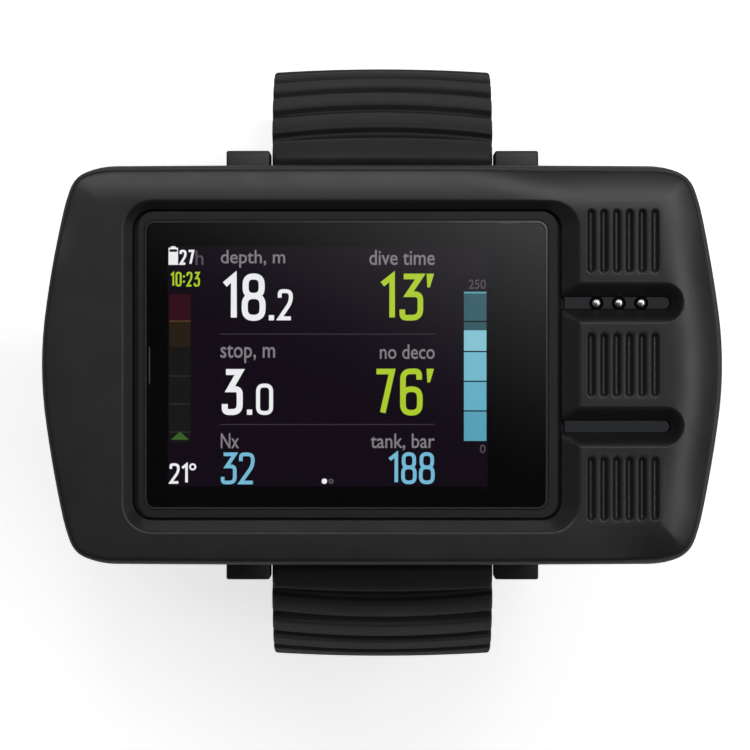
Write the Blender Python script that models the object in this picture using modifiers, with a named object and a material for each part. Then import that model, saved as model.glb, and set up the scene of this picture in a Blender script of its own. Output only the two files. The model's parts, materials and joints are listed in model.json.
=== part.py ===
"""A wrist-worn dive computer: a wide moulded case with a recessed display, three push pads and a rubber strap.

The case is modelled in its own millimetres: x to the right, y up the display, z out of the display, with
z = 0 on the flat back of the case. One root empty lifts it so that the object stands on its strap loop.
"""

from math import cos, degrees, pi, radians, sin

import bmesh
import bpy

MM = 0.001

# Case outline: apex of the short side, then arcs of (radius, turn in degrees, steps) to the long edge
SIDE_APEX = 52.49
OUTLINE_ARCS = ((62, 7.5, 2), (185, 4.7, 1), (30, 7.3, 1), (8, 8.5, 1), (4.6, 42, 3), (13, 19.6, 2))
SMALLEST_ARC = 0.4
CORNER_STEPS = 3
END_STEPS = 6

# Heights above the case back
BACK_RIM = 13.9
BEZEL_RIM = 14.9
SEAL_HEIGHT = 14.4
DECK_UNDER = 20.5
BAY_FLOOR = 22.2
SLOT_FLOOR = 24.3
FACE_TOP = 26.6
ABOVE_FACE = 28.0
BELOW_BACK = -1.0

# (height, inset from the widest outline) of the two shells, from low to high
BACK_RINGS = ((0, 3.0), (0.7, 1.9), (2.4, 1.05), (BACK_RIM, 0.35))
BEZEL_RINGS = (
    (BEZEL_RIM, 0.4), (17.0, 0.0), (21.0, 0.15), (23.6, 0.55),
    (24.8, 1.15), (25.5, 2.1), (26.2, 5.6), (FACE_TOP, 12.0),
)
WALL = 2.4
FLOOR = 2.2
CAVITY_STEP_X = 20.0
CAVITY_MID_Y = 24.0

# Display bay, glass and the window under it: x low, x high, y low, y high
BAY = (-39.96, 29.59, -25.62, 25.33)
BAY_CORNER = 4.4
BAY_WALL = 1.6
SURROUND = (-37.3, 26.7, -23.3, 23.4)
GLASS = (-36.35, 25.25, -22.05, 22.05)
GLASS_CORNER = 1.6
GLASS_TOP = 24.3
GLASS_UNDER = 22.5
WINDOW = (-35.6, 24.5, -21.3, 21.3)
LCD_CENTRE = (-8.4, -0.2)
LCD_SIZE = (53.0, 40.6)

# Two slots that run from the bay to the right
SLOT_Y = 9.44
SLOT_START = 24.0
SLOT_END = 46.0
SLOT_HALF = 2.95
SLOT_FLOOR_HALF = 0.95
SLOT_FLOOR_END = 43.8
INSERT_START = 28.2
PIN_XS = (32.65, 36.09, 39.5)
PIN_R = 0.75

# Push pads
PAD_X = 36.75
PAD_HALF = (5.8, 5.75)
PAD_CORNER = 1.5
PAD_UNDER = 24.2
PAD_GAP = 0.3
POCKET_FLOOR = 22.8
PAD_ROWS = (("upper", 18.87), ("middle", 0.0), ("lower", -18.87))
STEM_R = 1.5
STEM_END = 18.5
CLIP_Z = (19.6, 20.2)
GROOVE_XS = tuple(31.75 + 1.94 * k for k in range(6))
GROOVE_HALF_LENGTH = 4.89
GROOVE_HALF_WIDTH = 0.675
GROOVE_FLOOR = 25.95

# Lugs and strap bars, with u the distance outwards from the case's middle
BAR_U = 30.4
BAR_Z = 6.5
BAR_R = 1.0
LUG_X = (17.5, 24.3)
LUG_END = 33.4
LUG_Z = (2.2, 12.3)
LUG_BEVEL = 0.5
LUG_ROOT = 24.6
RECESS_WALL = 26.4
BAR_HALF = 19.5
BAR_SCREW_X = (23.2, 24.2)
BAR_SCREW_R = 1.85

# Upper and lower points of the strap's end block about its bar; it clears the recess wall as it swings
END_BLOCK = (
    ((-3.55, 0.95), (-3.55, -0.95)),
    ((-2.8, 2.35), (-2.6, -2.5)),
    ((-1.3, 3.4), (-1.6, -3.1)),
    ((-0.2, 4.25), (-0.5, -3.35)),
    ((0.9, 4.95), (0.6, -3.2)),
)

# Strap halves
STRAP_HALF = 17.25
STRAP_NARROW = 14.5
TAPER = (30.0, 52.0)
STRAP_CHAMFER = 0.45
RIB_RAMP = 0.25
STRAP_THICK = 4.2
STRAP_PLAIN = 3.2
STRAP_GROOVE = 3.0
BEND_R = 30.0
BEND_Z = -21.1
FIRST_RIB = 2.86
RIB_PITCH = 4.88
RIB_LENGTH = 3.6
RIBS = 7
TOP_ARC = {"u": 25.7, "z": -9.1, "r": 22.0}
BOTTOM_ARC = {"u": 26.1, "z": -7.8, "r": 20.6}
ARC_START = 24.0
SOLE_Z = BEND_Z - BEND_R
TIP_U = 3.0
HOLES = 7
HOLE_R = 1.6
FIRST_HOLE = 8.0
HOLE_PITCH = 6.5

# Buckle
BUCKLE_U = 15.5
BUCKLE_Z = -49.4
BUCKLE_BAR_R = 0.9
FRAME_X = (14.8, 18.0)
FRAME_END = -0.5
FRAME_TOP = -48.7
TONGUE_HALF = 1.3

# Keepers on the lower bend, by angle from straight down
KEEPERS = (("keeper_fixed", 53.5), ("keeper_sliding", 40.0))
KEEPER_SPAN = 4.5
KEEPER_WALL = 1.5
KEEPER_STEPS = 4
TIP_ROOM = 3.5

# Case screws, pressure port and what lies inside
SCREW_XY = (42.5, 24.5)
SCREW_R = 1.2
SCREW_HEAD_R = 2.6
SCREW_TIP = 18.8
SENSOR_XY = (34.0, -12.0)
PORT_R = 8.3
VENTS = 6
VENT_CIRCLE = 4.2
BUZZER_XY = (34.0, 12.0)
BATTERY_Z = (3.2, 10.4)
BOARD_Z = (12.4, 13.6)

Y_SHIFT = -(TOP_ARC["u"] + TOP_ARC["r"] - BOTTOM_ARC["u"] - BOTTOM_ARC["r"]) / 2
LIFT = -SOLE_Z


def start_scene():
    for obj in list(bpy.data.objects):
        bpy.data.objects.remove(obj, do_unlink=True)
    made = []
    for name in ("dive_computer", "cutters"):
        collection = bpy.data.collections.new(name)
        bpy.context.scene.collection.children.link(collection)
        made.append(collection)
    return made


PARTS, CUTTERS = start_scene()


def empty_at(name, x, y, z, parent=None):
    """A pivot: an empty at a place in the case's own millimetres."""
    obj = bpy.data.objects.new(name, None)
    obj.empty_display_size = 0.01
    PARTS.objects.link(obj)
    obj["place"] = (x, y, z)
    if parent is None:
        obj.location = (x * MM, y * MM, z * MM)
    else:
        hang(obj, parent, (x, y, z))
    return obj


def hang(obj, pivot, place=(0, 0, 0)):
    """Parents obj to a pivot and keeps it at place, a point in the case's own millimetres."""
    home = pivot["place"] if pivot is not ROOT else (0, 0, 0)
    obj.parent = pivot
    obj.location = [(a - b) * MM for a, b in zip(place, home)]


ROOT = empty_at("dive_computer_root", 0, Y_SHIFT, LIFT)


def material(name, colour, roughness, metallic=0.0):
    made = bpy.data.materials.new(name)
    made.use_nodes = True
    shader = made.node_tree.nodes["Principled BSDF"]
    shader.inputs["Base Color"].default_value = (*colour, 1)
    shader.inputs["Roughness"].default_value = roughness
    shader.inputs["Metallic"].default_value = metallic
    made.diffuse_color = (*colour, 1)
    return made


SHELL_BLACK = material("shell_black", (0.022, 0.023, 0.025), 0.45)
STRAP_BLACK = material("strap_black", (0.028, 0.028, 0.029), 0.55)
GLASS_DARK = material("glass_dark", (0.01, 0.01, 0.011), 0.05)
SURROUND_BLACK = material("surround_black", (0.02, 0.02, 0.022), 0.3)
SCREEN = material("screen", (0.02, 0.008, 0.025), 0.3)
STEEL = material("steel", (0.6, 0.6, 0.6), 0.3, 1.0)
SEAL_RUBBER = material("seal_rubber", (0.015, 0.015, 0.016), 0.7)
BOARD_GREEN = material("board_green", (0.02, 0.12, 0.05), 0.5)
CELL_GREY = material("cell_grey", (0.35, 0.36, 0.38), 0.4)
FOAM_GREY = material("foam_grey", (0.12, 0.12, 0.12), 0.9)
FRAME_PLASTIC = material("frame_plastic", (0.08, 0.08, 0.085), 0.6)
PART_BLUE = material("part_blue", (0.05, 0.06, 0.09), 0.4)


def add(name, mesh, finish=None, pivot=None):
    """A part when it has a finish, otherwise a cutter. Its mesh is in metres, about place (0, 0, 0)."""
    obj = bpy.data.objects.new(name, mesh)
    if finish is None:
        CUTTERS.objects.link(obj)
        obj.hide_render = True
        obj.display_type = "WIRE"
    else:
        PARTS.objects.link(obj)
        mesh.materials.clear()
        mesh.materials.append(finish)
    hang(obj, pivot or ROOT)
    return obj


def mesh_from(name, bm):
    bm.normal_update()
    bmesh.ops.recalc_face_normals(bm, faces=bm.faces)
    mesh = bpy.data.meshes.new(name)
    bm.to_mesh(mesh)
    bm.free()
    return mesh


def smooth(obj, angle=35):
    obj.data.shade_smooth()
    obj.data.set_sharp_from_angle(angle=radians(angle))
    return obj


def box(name, xs, ys, zs, finish=None, pivot=None, bevel=0.0):
    bm = bmesh.new()
    bmesh.ops.create_cube(bm, size=1)
    for vert in bm.verts:
        for axis, (low, high) in enumerate((xs, ys, zs)):
            vert.co[axis] = (high if vert.co[axis] > 0 else low) * MM
    obj = add(name, mesh_from(name, bm), finish, pivot)
    if bevel:
        soften(obj, bevel)
    return obj


def soften(obj, width, segments=1):
    made = obj.modifiers.new("soften", "BEVEL")
    made.width = width * MM
    made.segments = segments
    made.limit_method = "ANGLE"
    return made


def rod(name, radius, start, end, finish=None, pivot=None, sides=16):
    """A cylinder between two points that differ along one axis only."""
    axis = max(range(3), key=lambda i: abs(end[i] - start[i]))
    bm = bmesh.new()
    bmesh.ops.create_cone(
        bm, cap_ends=True, segments=sides, radius1=radius * MM, radius2=radius * MM,
        depth=abs(end[axis] - start[axis]) * MM,
    )
    middle = [(a + b) / 2 * MM for a, b in zip(start, end)]
    order = {0: (2, 0, 1), 1: (1, 2, 0), 2: (0, 1, 2)}[axis]
    for vert in bm.verts:
        vert.co = [vert.co[order[i]] + middle[i] for i in range(3)]
    return smooth(add(name, mesh_from(name, bm), finish, pivot))


def ring(name, major, minor, centre, finish):
    bpy.ops.mesh.primitive_torus_add(
        major_radius=major * MM, minor_radius=minor * MM, major_segments=16, minor_segments=6,
        location=[c * MM for c in centre],
    )
    torus = bpy.context.object
    mesh = torus.data
    mesh.transform(torus.matrix_world)
    bpy.data.objects.remove(torus)
    return smooth(add(name, mesh, finish), 80)


def turned(name, profile, centre, finish, pivot=None, sides=16):
    """A solid of revolution about z: profile is (radius, height) from the top of the axis down the outside."""
    mesh = bpy.data.meshes.new(name)
    points = [(r * MM, 0, z * MM) for r, z in profile]
    mesh.from_pydata(points, [(i, i + 1) for i in range(len(points) - 1)], [])
    obj = add(name, mesh, finish, pivot)
    obj.location = [a + b * MM for a, b in zip(obj.location, centre)]
    screw = obj.modifiers.new("turn", "SCREW")
    screw.steps = sides
    screw.render_steps = sides
    screw.use_merge_vertices = True
    screw.merge_threshold = 1e-5
    return obj


def slab(name, outline, z_low, z_high, finish=None, pivot=None):
    """A flat outline given thickness, as a mesh that can be cut."""
    curve = bpy.data.curves.new(name, "CURVE")
    curve.dimensions = "2D"
    curve.fill_mode = "BOTH"
    curve.extrude = (z_high - z_low) / 2 * MM
    spline = curve.splines.new("POLY")
    spline.points.add(len(outline) - 1)
    for point, (x, y) in zip(spline.points, outline):
        point.co = (x * MM, y * MM, 0, 1)
    spline.use_cyclic_u = True
    guide = bpy.data.objects.new(name + "_outline", curve)
    guide.location.z = (z_low + z_high) / 2 * MM
    CUTTERS.objects.link(guide)
    bpy.context.view_layer.update()
    mesh = bpy.data.meshes.new_from_object(guide.evaluated_get(bpy.context.evaluated_depsgraph_get()))
    mesh.transform(guide.matrix_world)
    bpy.data.objects.remove(guide)
    bm = bmesh.new()
    bm.from_mesh(mesh)
    bmesh.ops.remove_doubles(bm, verts=bm.verts, dist=1e-6)
    return add(name, mesh_from(name, bm), finish, pivot)


def loft(name, sections, finish=None, pivot=None):
    """A closed solid through sections of equally many points, capped at both ends."""
    bm = bmesh.new()
    rows = [[bm.verts.new([c * MM for c in point]) for point in section] for section in sections]
    for low, high in zip(rows, rows[1:]):
        for i in range(len(low)):
            j = (i + 1) % len(low)
            bm.faces.new((low[i], low[j], high[j], high[i]))
    bm.faces.new(list(reversed(rows[0])))
    bm.faces.new(rows[-1])
    return add(name, mesh_from(name, bm), finish, pivot)


def boolean(obj, other, operation="DIFFERENCE"):
    made = obj.modifiers.new(operation.lower(), "BOOLEAN")
    made.operation = operation
    made.object = other
    made.solver = "EXACT"


def case_outline(inset):
    """The case's outline, drawn in by inset: a quarter from its arcs, mirrored twice."""
    x, y, heading = SIDE_APEX - inset, 0.0, 0.0
    quarter = [(x, y)]
    for radius, turn, steps in OUTLINE_ARCS:
        radius = max(radius - inset, SMALLEST_ARC)
        for _ in range(steps):
            after = heading + radians(turn / steps)
            x -= radius * (cos(heading) - cos(after))
            y += radius * (sin(after) - sin(heading))
            heading = after
            quarter.append((x, y))
    upper = quarter + [(-a, b) for a, b in reversed(quarter)]
    return upper + [(a, -b) for a, b in reversed(upper[1:-1])]


def cavity_outline(spread=0.0):
    """The inner outline: it follows the case but steps in behind the two strap recesses."""
    outer = case_outline(WALL - spread)
    step_x, middle = CAVITY_STEP_X + spread, CAVITY_MID_Y + spread
    right = [(x, y) for x, y in outer if x > step_x]
    top = [p for p in right if p[1] >= 0]
    quarter = top + [(step_x, top[-1][1] + 0.1), (step_x, middle)]
    upper = quarter + [(-a, b) for a, b in reversed(quarter)]
    return upper + [(a, -b) for a, b in reversed(upper[1:-1])]


def rounded(rect, corner, grow=0.0):
    x0, x1, y0, y1 = rect[0] - grow, rect[1] + grow, rect[2] - grow, rect[3] + grow
    corner = max(corner + grow, SMALLEST_ARC)
    points = []
    corners = ((x1, y1, -1, -1), (x0, y1, 1, -1), (x0, y0, 1, 1), (x1, y0, -1, 1))
    for turn, (x, y, sx, sy) in enumerate(corners):
        for i in range(CORNER_STEPS + 1):
            angle = pi / 2 * (turn + i / CORNER_STEPS)
            points.append((x + sx * corner + corner * cos(angle), y + sy * corner + corner * sin(angle)))
    return points


def at_height(outline, z):
    return [(x, y, z) for x, y in outline]


def pill(x0, x1, y, half):
    """An outline with a flat left end and a round right end that reaches x1."""
    points = [(x0, y + half), (x0, y - half)]
    for i in range(END_STEPS + 1):
        angle = -pi / 2 + pi * i / END_STEPS
        points.append((x1 - half + half * cos(angle), y + half * sin(angle)))
    return points


def sloped(y):
    """Sections of one slot, from its floor up past the face."""
    low = pill(SLOT_START, SLOT_FLOOR_END, y, SLOT_FLOOR_HALF)
    high = pill(SLOT_START, SLOT_END + 0.3, y, SLOT_HALF + 0.3)
    return [at_height(low, SLOT_FLOOR), at_height(high, FACE_TOP + 0.33), at_height(high, ABOVE_FACE)]


def both_ways():
    return [(sx, sy) for sy in (1, -1) for sx in (1, -1)]


def screw_places():
    names = ("top_right", "top_left", "bottom_right", "bottom_left")
    return [(name, sx * SCREW_XY[0], sy * SCREW_XY[1]) for name, (sx, sy) in zip(names, both_ways())]


def face_block(name, finish=None):
    return loft(name, [at_height(case_outline(inset), z) for z, inset in BEZEL_RINGS], finish)


def pad_outline(y, grow=0.0):
    rect = (PAD_X - PAD_HALF[0], PAD_X + PAD_HALF[0], y - PAD_HALF[1], y + PAD_HALF[1])
    return rounded(rect, PAD_CORNER, grow)


def bay_sections():
    """The display bay: a sloped wall down to a straight-sided floor recess."""
    floor = rounded(BAY, BAY_CORNER, -BAY_WALL)
    mouth = rounded(BAY, BAY_CORNER, 0.45)
    return [
        at_height(floor, BAY_FLOOR),
        at_height(floor, SLOT_FLOOR),
        at_height(mouth, FACE_TOP + 0.6),
        at_height(mouth, ABOVE_FACE),
    ]


def make_bezel():
    bezel = face_block("bezel_shell", SHELL_BLACK)
    boolean(bezel, slab("bezel_cavity", cavity_outline(), 10, DECK_UNDER))
    for name, x, y in screw_places():
        boolean(bezel, rod(f"bezel_boss_{name}", 3.2, (x, y, BEZEL_RIM), (x, y, 21.5)), "UNION")
        boolean(bezel, rod(f"bezel_pilot_{name}", SCREW_R + 0.25, (x, y, 12), (x, y, SCREW_TIP + 1), sides=14))
    boolean(bezel, loft("bay_cut", bay_sections()))
    boolean(bezel, slab("window_cut", rounded(WINDOW, 1.0), 18, 24))
    for sign in (1, -1):
        boolean(bezel, loft(f"slot_cut_{sign}", sloped(sign * SLOT_Y)))
    for y, half in ((SLOT_Y, 1.55), (-SLOT_Y, 1.15)):
        outline = pill(INSERT_START - 0.2, SLOT_FLOOR_END + 0.1, y, half)
        boolean(bezel, slab(f"insert_cut_{half}", outline, 21.0, 25))
    for x in PIN_XS:
        boolean(bezel, rod(f"pin_hole_{x}", 1.0, (x, SLOT_Y, 18), (x, SLOT_Y, 22), sides=12))
    for row, y in PAD_ROWS:
        boolean(bezel, slab(f"pocket_{row}", pad_outline(y, PAD_GAP), POCKET_FLOOR, ABOVE_FACE))
        boolean(bezel, rod(f"stem_hole_{row}", 1.9, (PAD_X, y, 18), (PAD_X, y, 24)))
        boolean(bezel, rod(f"seal_seat_{row}", 2.75, (PAD_X, y, 21.9), (PAD_X, y, 24)))
    return bezel


def make_back_case():
    back = loft("back_case", [at_height(case_outline(inset), z) for z, inset in BACK_RINGS], SHELL_BLACK)
    for sy, end in ((1, "top"), (-1, "bottom")):
        for sx, side in ((1, "right"), (-1, "left")):
            xs = sorted((sx * LUG_X[0], sx * LUG_X[1]))
            ys = sorted((sy * LUG_ROOT, sy * LUG_END))
            lug = box(f"lug_{end}_{side}", xs, ys, LUG_Z, bevel=LUG_BEVEL)
            boolean(back, lug, "UNION")
    boolean(back, slab("back_cavity", cavity_outline(), FLOOR, 16))
    for sy, end in ((1, "top"), (-1, "bottom")):
        recess = sorted((sy * RECESS_WALL, sy * 40))
        boolean(back, box(f"strap_recess_{end}", (-LUG_X[0], LUG_X[0]), recess, (-2, 16)))
        y = sy * BAR_U
        boolean(back, rod(f"bar_hole_{end}", 1.3, (-26, y, BAR_Z), (26, y, BAR_Z)))
        for sx, side in ((1, "right"), (-1, "left")):
            seat = rod(f"bar_seat_{end}_{side}", 2.15, (sx * 23.0, y, BAR_Z), (sx * 26, y, BAR_Z))
            boolean(back, seat)
    for name, x, y in screw_places():
        boolean(back, rod(f"back_post_{name}", 3.4, (x, y, 1.0), (x, y, BACK_RIM - 0.2)), "UNION")
        boolean(back, rod(f"back_drill_{name}", SCREW_R + 0.3, (x, y, BELOW_BACK), (x, y, 16), sides=14))
        boolean(back, rod(f"back_head_seat_{name}", SCREW_HEAD_R + 0.3, (x, y, BELOW_BACK), (x, y, 2.9)))
    x, y = SENSOR_XY
    boolean(back, rod("port_recess", PORT_R, (x, y, BELOW_BACK), (x, y, 1.4), sides=24))
    boolean(back, rod("port_hole", 2.2, (x, y, BELOW_BACK), (x, y, 4)))
    return back


def make_seals_and_screws():
    curve = bpy.data.curves.new("case_seal", "CURVE")
    curve.dimensions = "3D"
    curve.bevel_depth = 0.4 * MM
    curve.bevel_resolution = 0
    outline = cavity_outline(1.1)
    spline = curve.splines.new("POLY")
    spline.points.add(len(outline) - 1)
    for point, (x, y) in zip(spline.points, outline):
        point.co = (x * MM, y * MM, SEAL_HEIGHT * MM, 1)
    spline.use_cyclic_u = True
    add_curve("case_seal", curve, SEAL_RUBBER)
    for name, x, y in screw_places():
        shank = ((0, SCREW_TIP), (SCREW_R, SCREW_TIP), (SCREW_R, 2.5))
        head = ((SCREW_HEAD_R, 2.5), (SCREW_HEAD_R, 0.7), (SCREW_HEAD_R - 0.3, 0.4), (0, 0.4))
        screw = turned(f"case_screw_{name}", shank + head, (x, y, 0), STEEL, sides=16)
        boolean(screw, rod(f"drive_{name}", 1.2, (x, y, BELOW_BACK), (x, y, 1.4), sides=6))


def add_curve(name, curve, finish):
    obj = bpy.data.objects.new(name, curve)
    PARTS.objects.link(obj)
    curve.materials.append(finish)
    hang(obj, ROOT)
    return obj


def make_display():
    glass = slab("display_glass", rounded(GLASS, GLASS_CORNER), GLASS_UNDER, GLASS_TOP, GLASS_DARK)
    soften(glass, 0.3)
    surround = slab("glass_surround", rounded(SURROUND, 2.4), GLASS_UNDER, 24.7, SURROUND_BLACK)
    boolean(surround, slab("surround_hole", rounded(GLASS, GLASS_CORNER, 0.2), 20, 27))
    centred = [(c - s / 2, c + s / 2) for c, s in zip(LCD_CENTRE, LCD_SIZE)]
    box("lcd_panel", *centred, (20.6, 22.0), SCREEN)
    box("backlight_unit", *centred, (18.2, 20.2), CELL_GREY, bevel=0.2)
    chassis = box("inner_chassis", (-37.5, 21.0), (-22.6, 22.6), (14.2, 17.9), FRAME_PLASTIC)
    boolean(chassis, box("chassis_hollow", (-35.5, 19.0), (-20.6, 20.6), (13, 16.4)))
    boolean(chassis, box("flex_gap", (10, 16), (-8, 8), (13, 19)))
    flex = [(10.8, -7), (15.2, -7), (15.2, 7), (10.8, 7)]
    slab("display_flex", flex, 13.9, 17.9, PART_BLUE)


def make_boards():
    upper = [(29, 23.2), (-38, 23.2), (-38, 20.2), (-46, 20.2)]
    outline = upper + [(x, -y) for x, y in reversed(upper)]
    slab("main_board", outline, *BOARD_Z, BOARD_GREEN)
    box("battery", (-36, 20), (-20, 20), BATTERY_Z, CELL_GREY, bevel=0.8)
    box("battery_foam", (-33, 17), (-18, 18), (BATTERY_Z[1] + 0.3, BOARD_Z[0] - 0.3), FOAM_GREY)
    box("radio_antenna", (-45.5, -40.5), (-13, 13), (14.2, 15.4), PART_BLUE, bevel=0.3)
    x, y = BUZZER_XY
    rod("buzzer", 5.5, (x, y, 2.5), (x, y, 5.6), FRAME_PLASTIC, sides=24)
    x, y = SENSOR_XY
    sensor = ((0, 7.2), (3.0, 7.2), (3.0, 5.6), (4.3, 5.6), (4.3, 3.7), (0, 3.7))
    turned("pressure_sensor", sensor, (x, y, 0), STEEL)
    ring("sensor_seal", 3.2, 0.45, (x, y, 2.95), SEAL_RUBBER)
    cover = rod("pressure_port_cover", PORT_R - 0.3, (x, y, 0.15), (x, y, 1.1), SHELL_BLACK, sides=24)
    for i in range(VENTS):
        angle = 2 * pi * i / VENTS
        px, py = x + VENT_CIRCLE * cos(angle), y + VENT_CIRCLE * sin(angle)
        boolean(cover, rod(f"port_vent_{i}", 0.9, (px, py, BELOW_BACK), (px, py, 2), sides=8))
    box("button_board", (32.6, 40.6), (-21.4, 21.4), (14.6, 15.6), BOARD_GREEN)
    for row, y in PAD_ROWS:
        switch = box(f"key_switch_{row}", (PAD_X - 3, PAD_X + 3), (y - 3, y + 3), (15.8, 17.1), CELL_GREY)
        boolean(switch, rod(f"plunger_{row}", 1.4, (PAD_X, y, 16.5), (PAD_X, y, 17.5)), "UNION")


def groove_cutters(row, y):
    """Six upright grooves with round ends and sloped sides, across a pad."""
    for i, x in enumerate(GROOVE_XS):
        sections = []
        wide = GROOVE_HALF_WIDTH + 0.12
        for z, half in ((GROOVE_FLOOR, 0.3), (GROOVE_FLOOR + 1, wide), (ABOVE_FACE, wide)):
            outline = []
            for end in (1, -1):
                centre = y + end * (GROOVE_HALF_LENGTH - GROOVE_HALF_WIDTH)
                for step in range(4):
                    angle = pi * step / 3 + (0 if end > 0 else pi)
                    outline.append((x + half * cos(angle), centre + half * sin(angle)))
            sections.append(at_height(outline, z))
        yield loft(f"groove_{row}_{i}", sections)


def make_buttons():
    whole_face = face_block("whole_face")
    for row, y in PAD_ROWS:
        pivot = empty_at(f"button_{row}_slide", PAD_X, y, FACE_TOP, ROOT)
        pad = slab(f"button_{row}", pad_outline(y), PAD_UNDER, ABOVE_FACE, SHELL_BLACK, pivot)
        boolean(pad, whole_face, "INTERSECT")
        for cutter in groove_cutters(row, y):
            boolean(pad, cutter)
        stem = rod(f"stem_{row}", STEM_R, (PAD_X, y, STEM_END), (PAD_X, y, PAD_UNDER + 0.6))
        boolean(pad, stem, "UNION")
        neck = slab(f"clip_neck_{row}", rounded((PAD_X - 3, PAD_X + 3, y - 3, y + 3), 1), 19.45, 20.35)
        boolean(neck, rod(f"clip_core_{row}", 1.05, (PAD_X, y, 18), (PAD_X, y, 22), sides=16))
        boolean(pad, neck)
        clip = rod(f"button_clip_{row}", 2.5, (PAD_X, y, CLIP_Z[0]), (PAD_X, y, CLIP_Z[1]), STEEL, pivot)
        boolean(clip, rod(f"clip_bore_{row}", 1.3, (PAD_X, y, 18), (PAD_X, y, 22), sides=16))
        ring(f"button_seal_{row}", 2.2, 0.36, (PAD_X, y, 22.35), SEAL_RUBBER)


def make_contacts():
    outline = pill(INSERT_START, SLOT_FLOOR_END - 0.1, SLOT_Y, 1.35)
    block = slab("contact_block", outline, 21.2, SLOT_FLOOR, PART_BLUE)
    for i, x in enumerate(PIN_XS):
        boolean(block, rod(f"contact_bore_{i}", 0.95, (x, SLOT_Y, 20), (x, SLOT_Y, 26), sides=16))
        profile = ((0, 24.5), (0.45, 24.42), (PIN_R, 24.2), (PIN_R, 18.8), (0, 18.8))
        turned(f"contact_pin_{i + 1}", profile, (x, SLOT_Y, 0), STEEL, sides=16)
    outline = pill(INSERT_START, SLOT_FLOOR_END - 0.1, -SLOT_Y, SLOT_FLOOR_HALF)
    slab("slot_insert", outline, 21.2, SLOT_FLOOR, PART_BLUE)


def make_bars():
    for sy, end in ((1, "top"), (-1, "bottom")):
        y = sy * BAR_U
        rod(f"strap_bar_{end}", BAR_R, (-BAR_HALF, y, BAR_Z), (BAR_HALF, y, BAR_Z), STEEL)
        for sx, side in ((1, "right"), (-1, "left")):
            shank = rod(f"shank_{end}_{side}", BAR_R, (sx * 19.8, y, BAR_Z), (sx * 23.6, y, BAR_Z))
            start, stop = ((sx * x, y, BAR_Z) for x in BAR_SCREW_X)
            screw = rod(f"bar_screw_{end}_{side}", BAR_SCREW_R, start, stop, STEEL)
            boolean(screw, shank, "UNION")
            flat = box(f"blade_slot_{end}_{side}", sorted((sx * 23.8, sx * 25)), (y - 3, y + 3),
                       (BAR_Z - 0.3, BAR_Z + 0.3))
            boolean(screw, flat)


def on_circle(arc, radius, angle):
    """A point (u, z) at an angle from straight up, outwards."""
    return arc["u"] + radius * sin(radians(angle)), arc["z"] + radius * cos(radians(angle))


def strap_thickness(s):
    for k in range(RIBS):
        start = FIRST_RIB + k * RIB_PITCH
        if start <= s <= start + RIB_LENGTH:
            return STRAP_THICK
    return STRAP_GROOVE if 0 < s < FIRST_RIB + RIBS * RIB_PITCH else STRAP_PLAIN


def strap_marks():
    """Distances along the outer line where the thickness or the direction changes."""
    marks = [0.0, 0.35]
    for k in range(RIBS):
        start = FIRST_RIB + k * RIB_PITCH
        end = start + RIB_LENGTH
        marks += [start - RIB_RAMP, start, start + RIB_LENGTH / 2, end, end + RIB_RAMP]
    return marks


def strap_half_width(s):
    """Full width over the ribs, then a straight taper, then the narrow width to the end."""
    share = min(max((s - TAPER[0]) / (TAPER[1] - TAPER[0]), 0), 1)
    return STRAP_HALF + share * (STRAP_NARROW - STRAP_HALF)


def strap_station(arc, s):
    """Outer point and the direction into the strap at distance s along the outer line."""
    arc_length = arc["r"] * radians(90 - ARC_START)
    straight = arc["z"] - BEND_Z
    if s <= arc_length:
        angle = ARC_START + degrees(s / arc["r"])
        outer = on_circle(arc, arc["r"], angle)
        return outer, (-sin(radians(angle)), -cos(radians(angle)))
    if s <= arc_length + straight:
        return (arc["u"] + arc["r"], arc["z"] - (s - arc_length)), (-1.0, 0.0)
    bend = (s - arc_length - straight) / BEND_R
    centre_u = arc["u"] + arc["r"] - BEND_R
    if bend <= pi / 2:
        return (centre_u + BEND_R * cos(bend), BEND_Z - BEND_R * sin(bend)), (-cos(bend), sin(bend))
    return (centre_u - (bend - pi / 2) * BEND_R, SOLE_Z), (0.0, 1.0)


def strap_section(side, outer, inner, half, chamfer=STRAP_CHAMFER):
    """Eight points of one cross-section; side is +1 for the top half and -1 for the bottom one."""
    du, dz = inner[0] - outer[0], inner[1] - outer[1]
    size = (du * du + dz * dz) ** 0.5
    step = (du / size * chamfer, dz / size * chamfer)
    near = (outer[0] + step[0], outer[1] + step[1])
    far = (inner[0] - step[0], inner[1] - step[1])
    line = ((half - chamfer, outer), (half, near), (half, far), (half - chamfer, inner))
    right = [(x, side * u, z) for x, (u, z) in line]
    return right + [(-x, y, z) for x, y, z in reversed(right)]


def end_block_pairs(arc):
    """Outer and inner points of the solid end that holds the strap bar."""
    ends = []
    for (upper_u, upper_z), (lower_u, lower_z) in END_BLOCK:
        ends.append(((BAR_U + upper_u, BAR_Z + upper_z), (BAR_U + lower_u, BAR_Z + lower_z)))
    shoulder = on_circle(arc, arc["r"], ARC_START - 6)
    edge = on_circle(arc, arc["r"], ARC_START)
    ends.append((shoulder, (BAR_U + 1.6, BAR_Z - 2.9)))
    ends.append((edge, on_circle(arc, arc["r"] - STRAP_THICK - 0.4, ARC_START)))
    return ends


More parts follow.
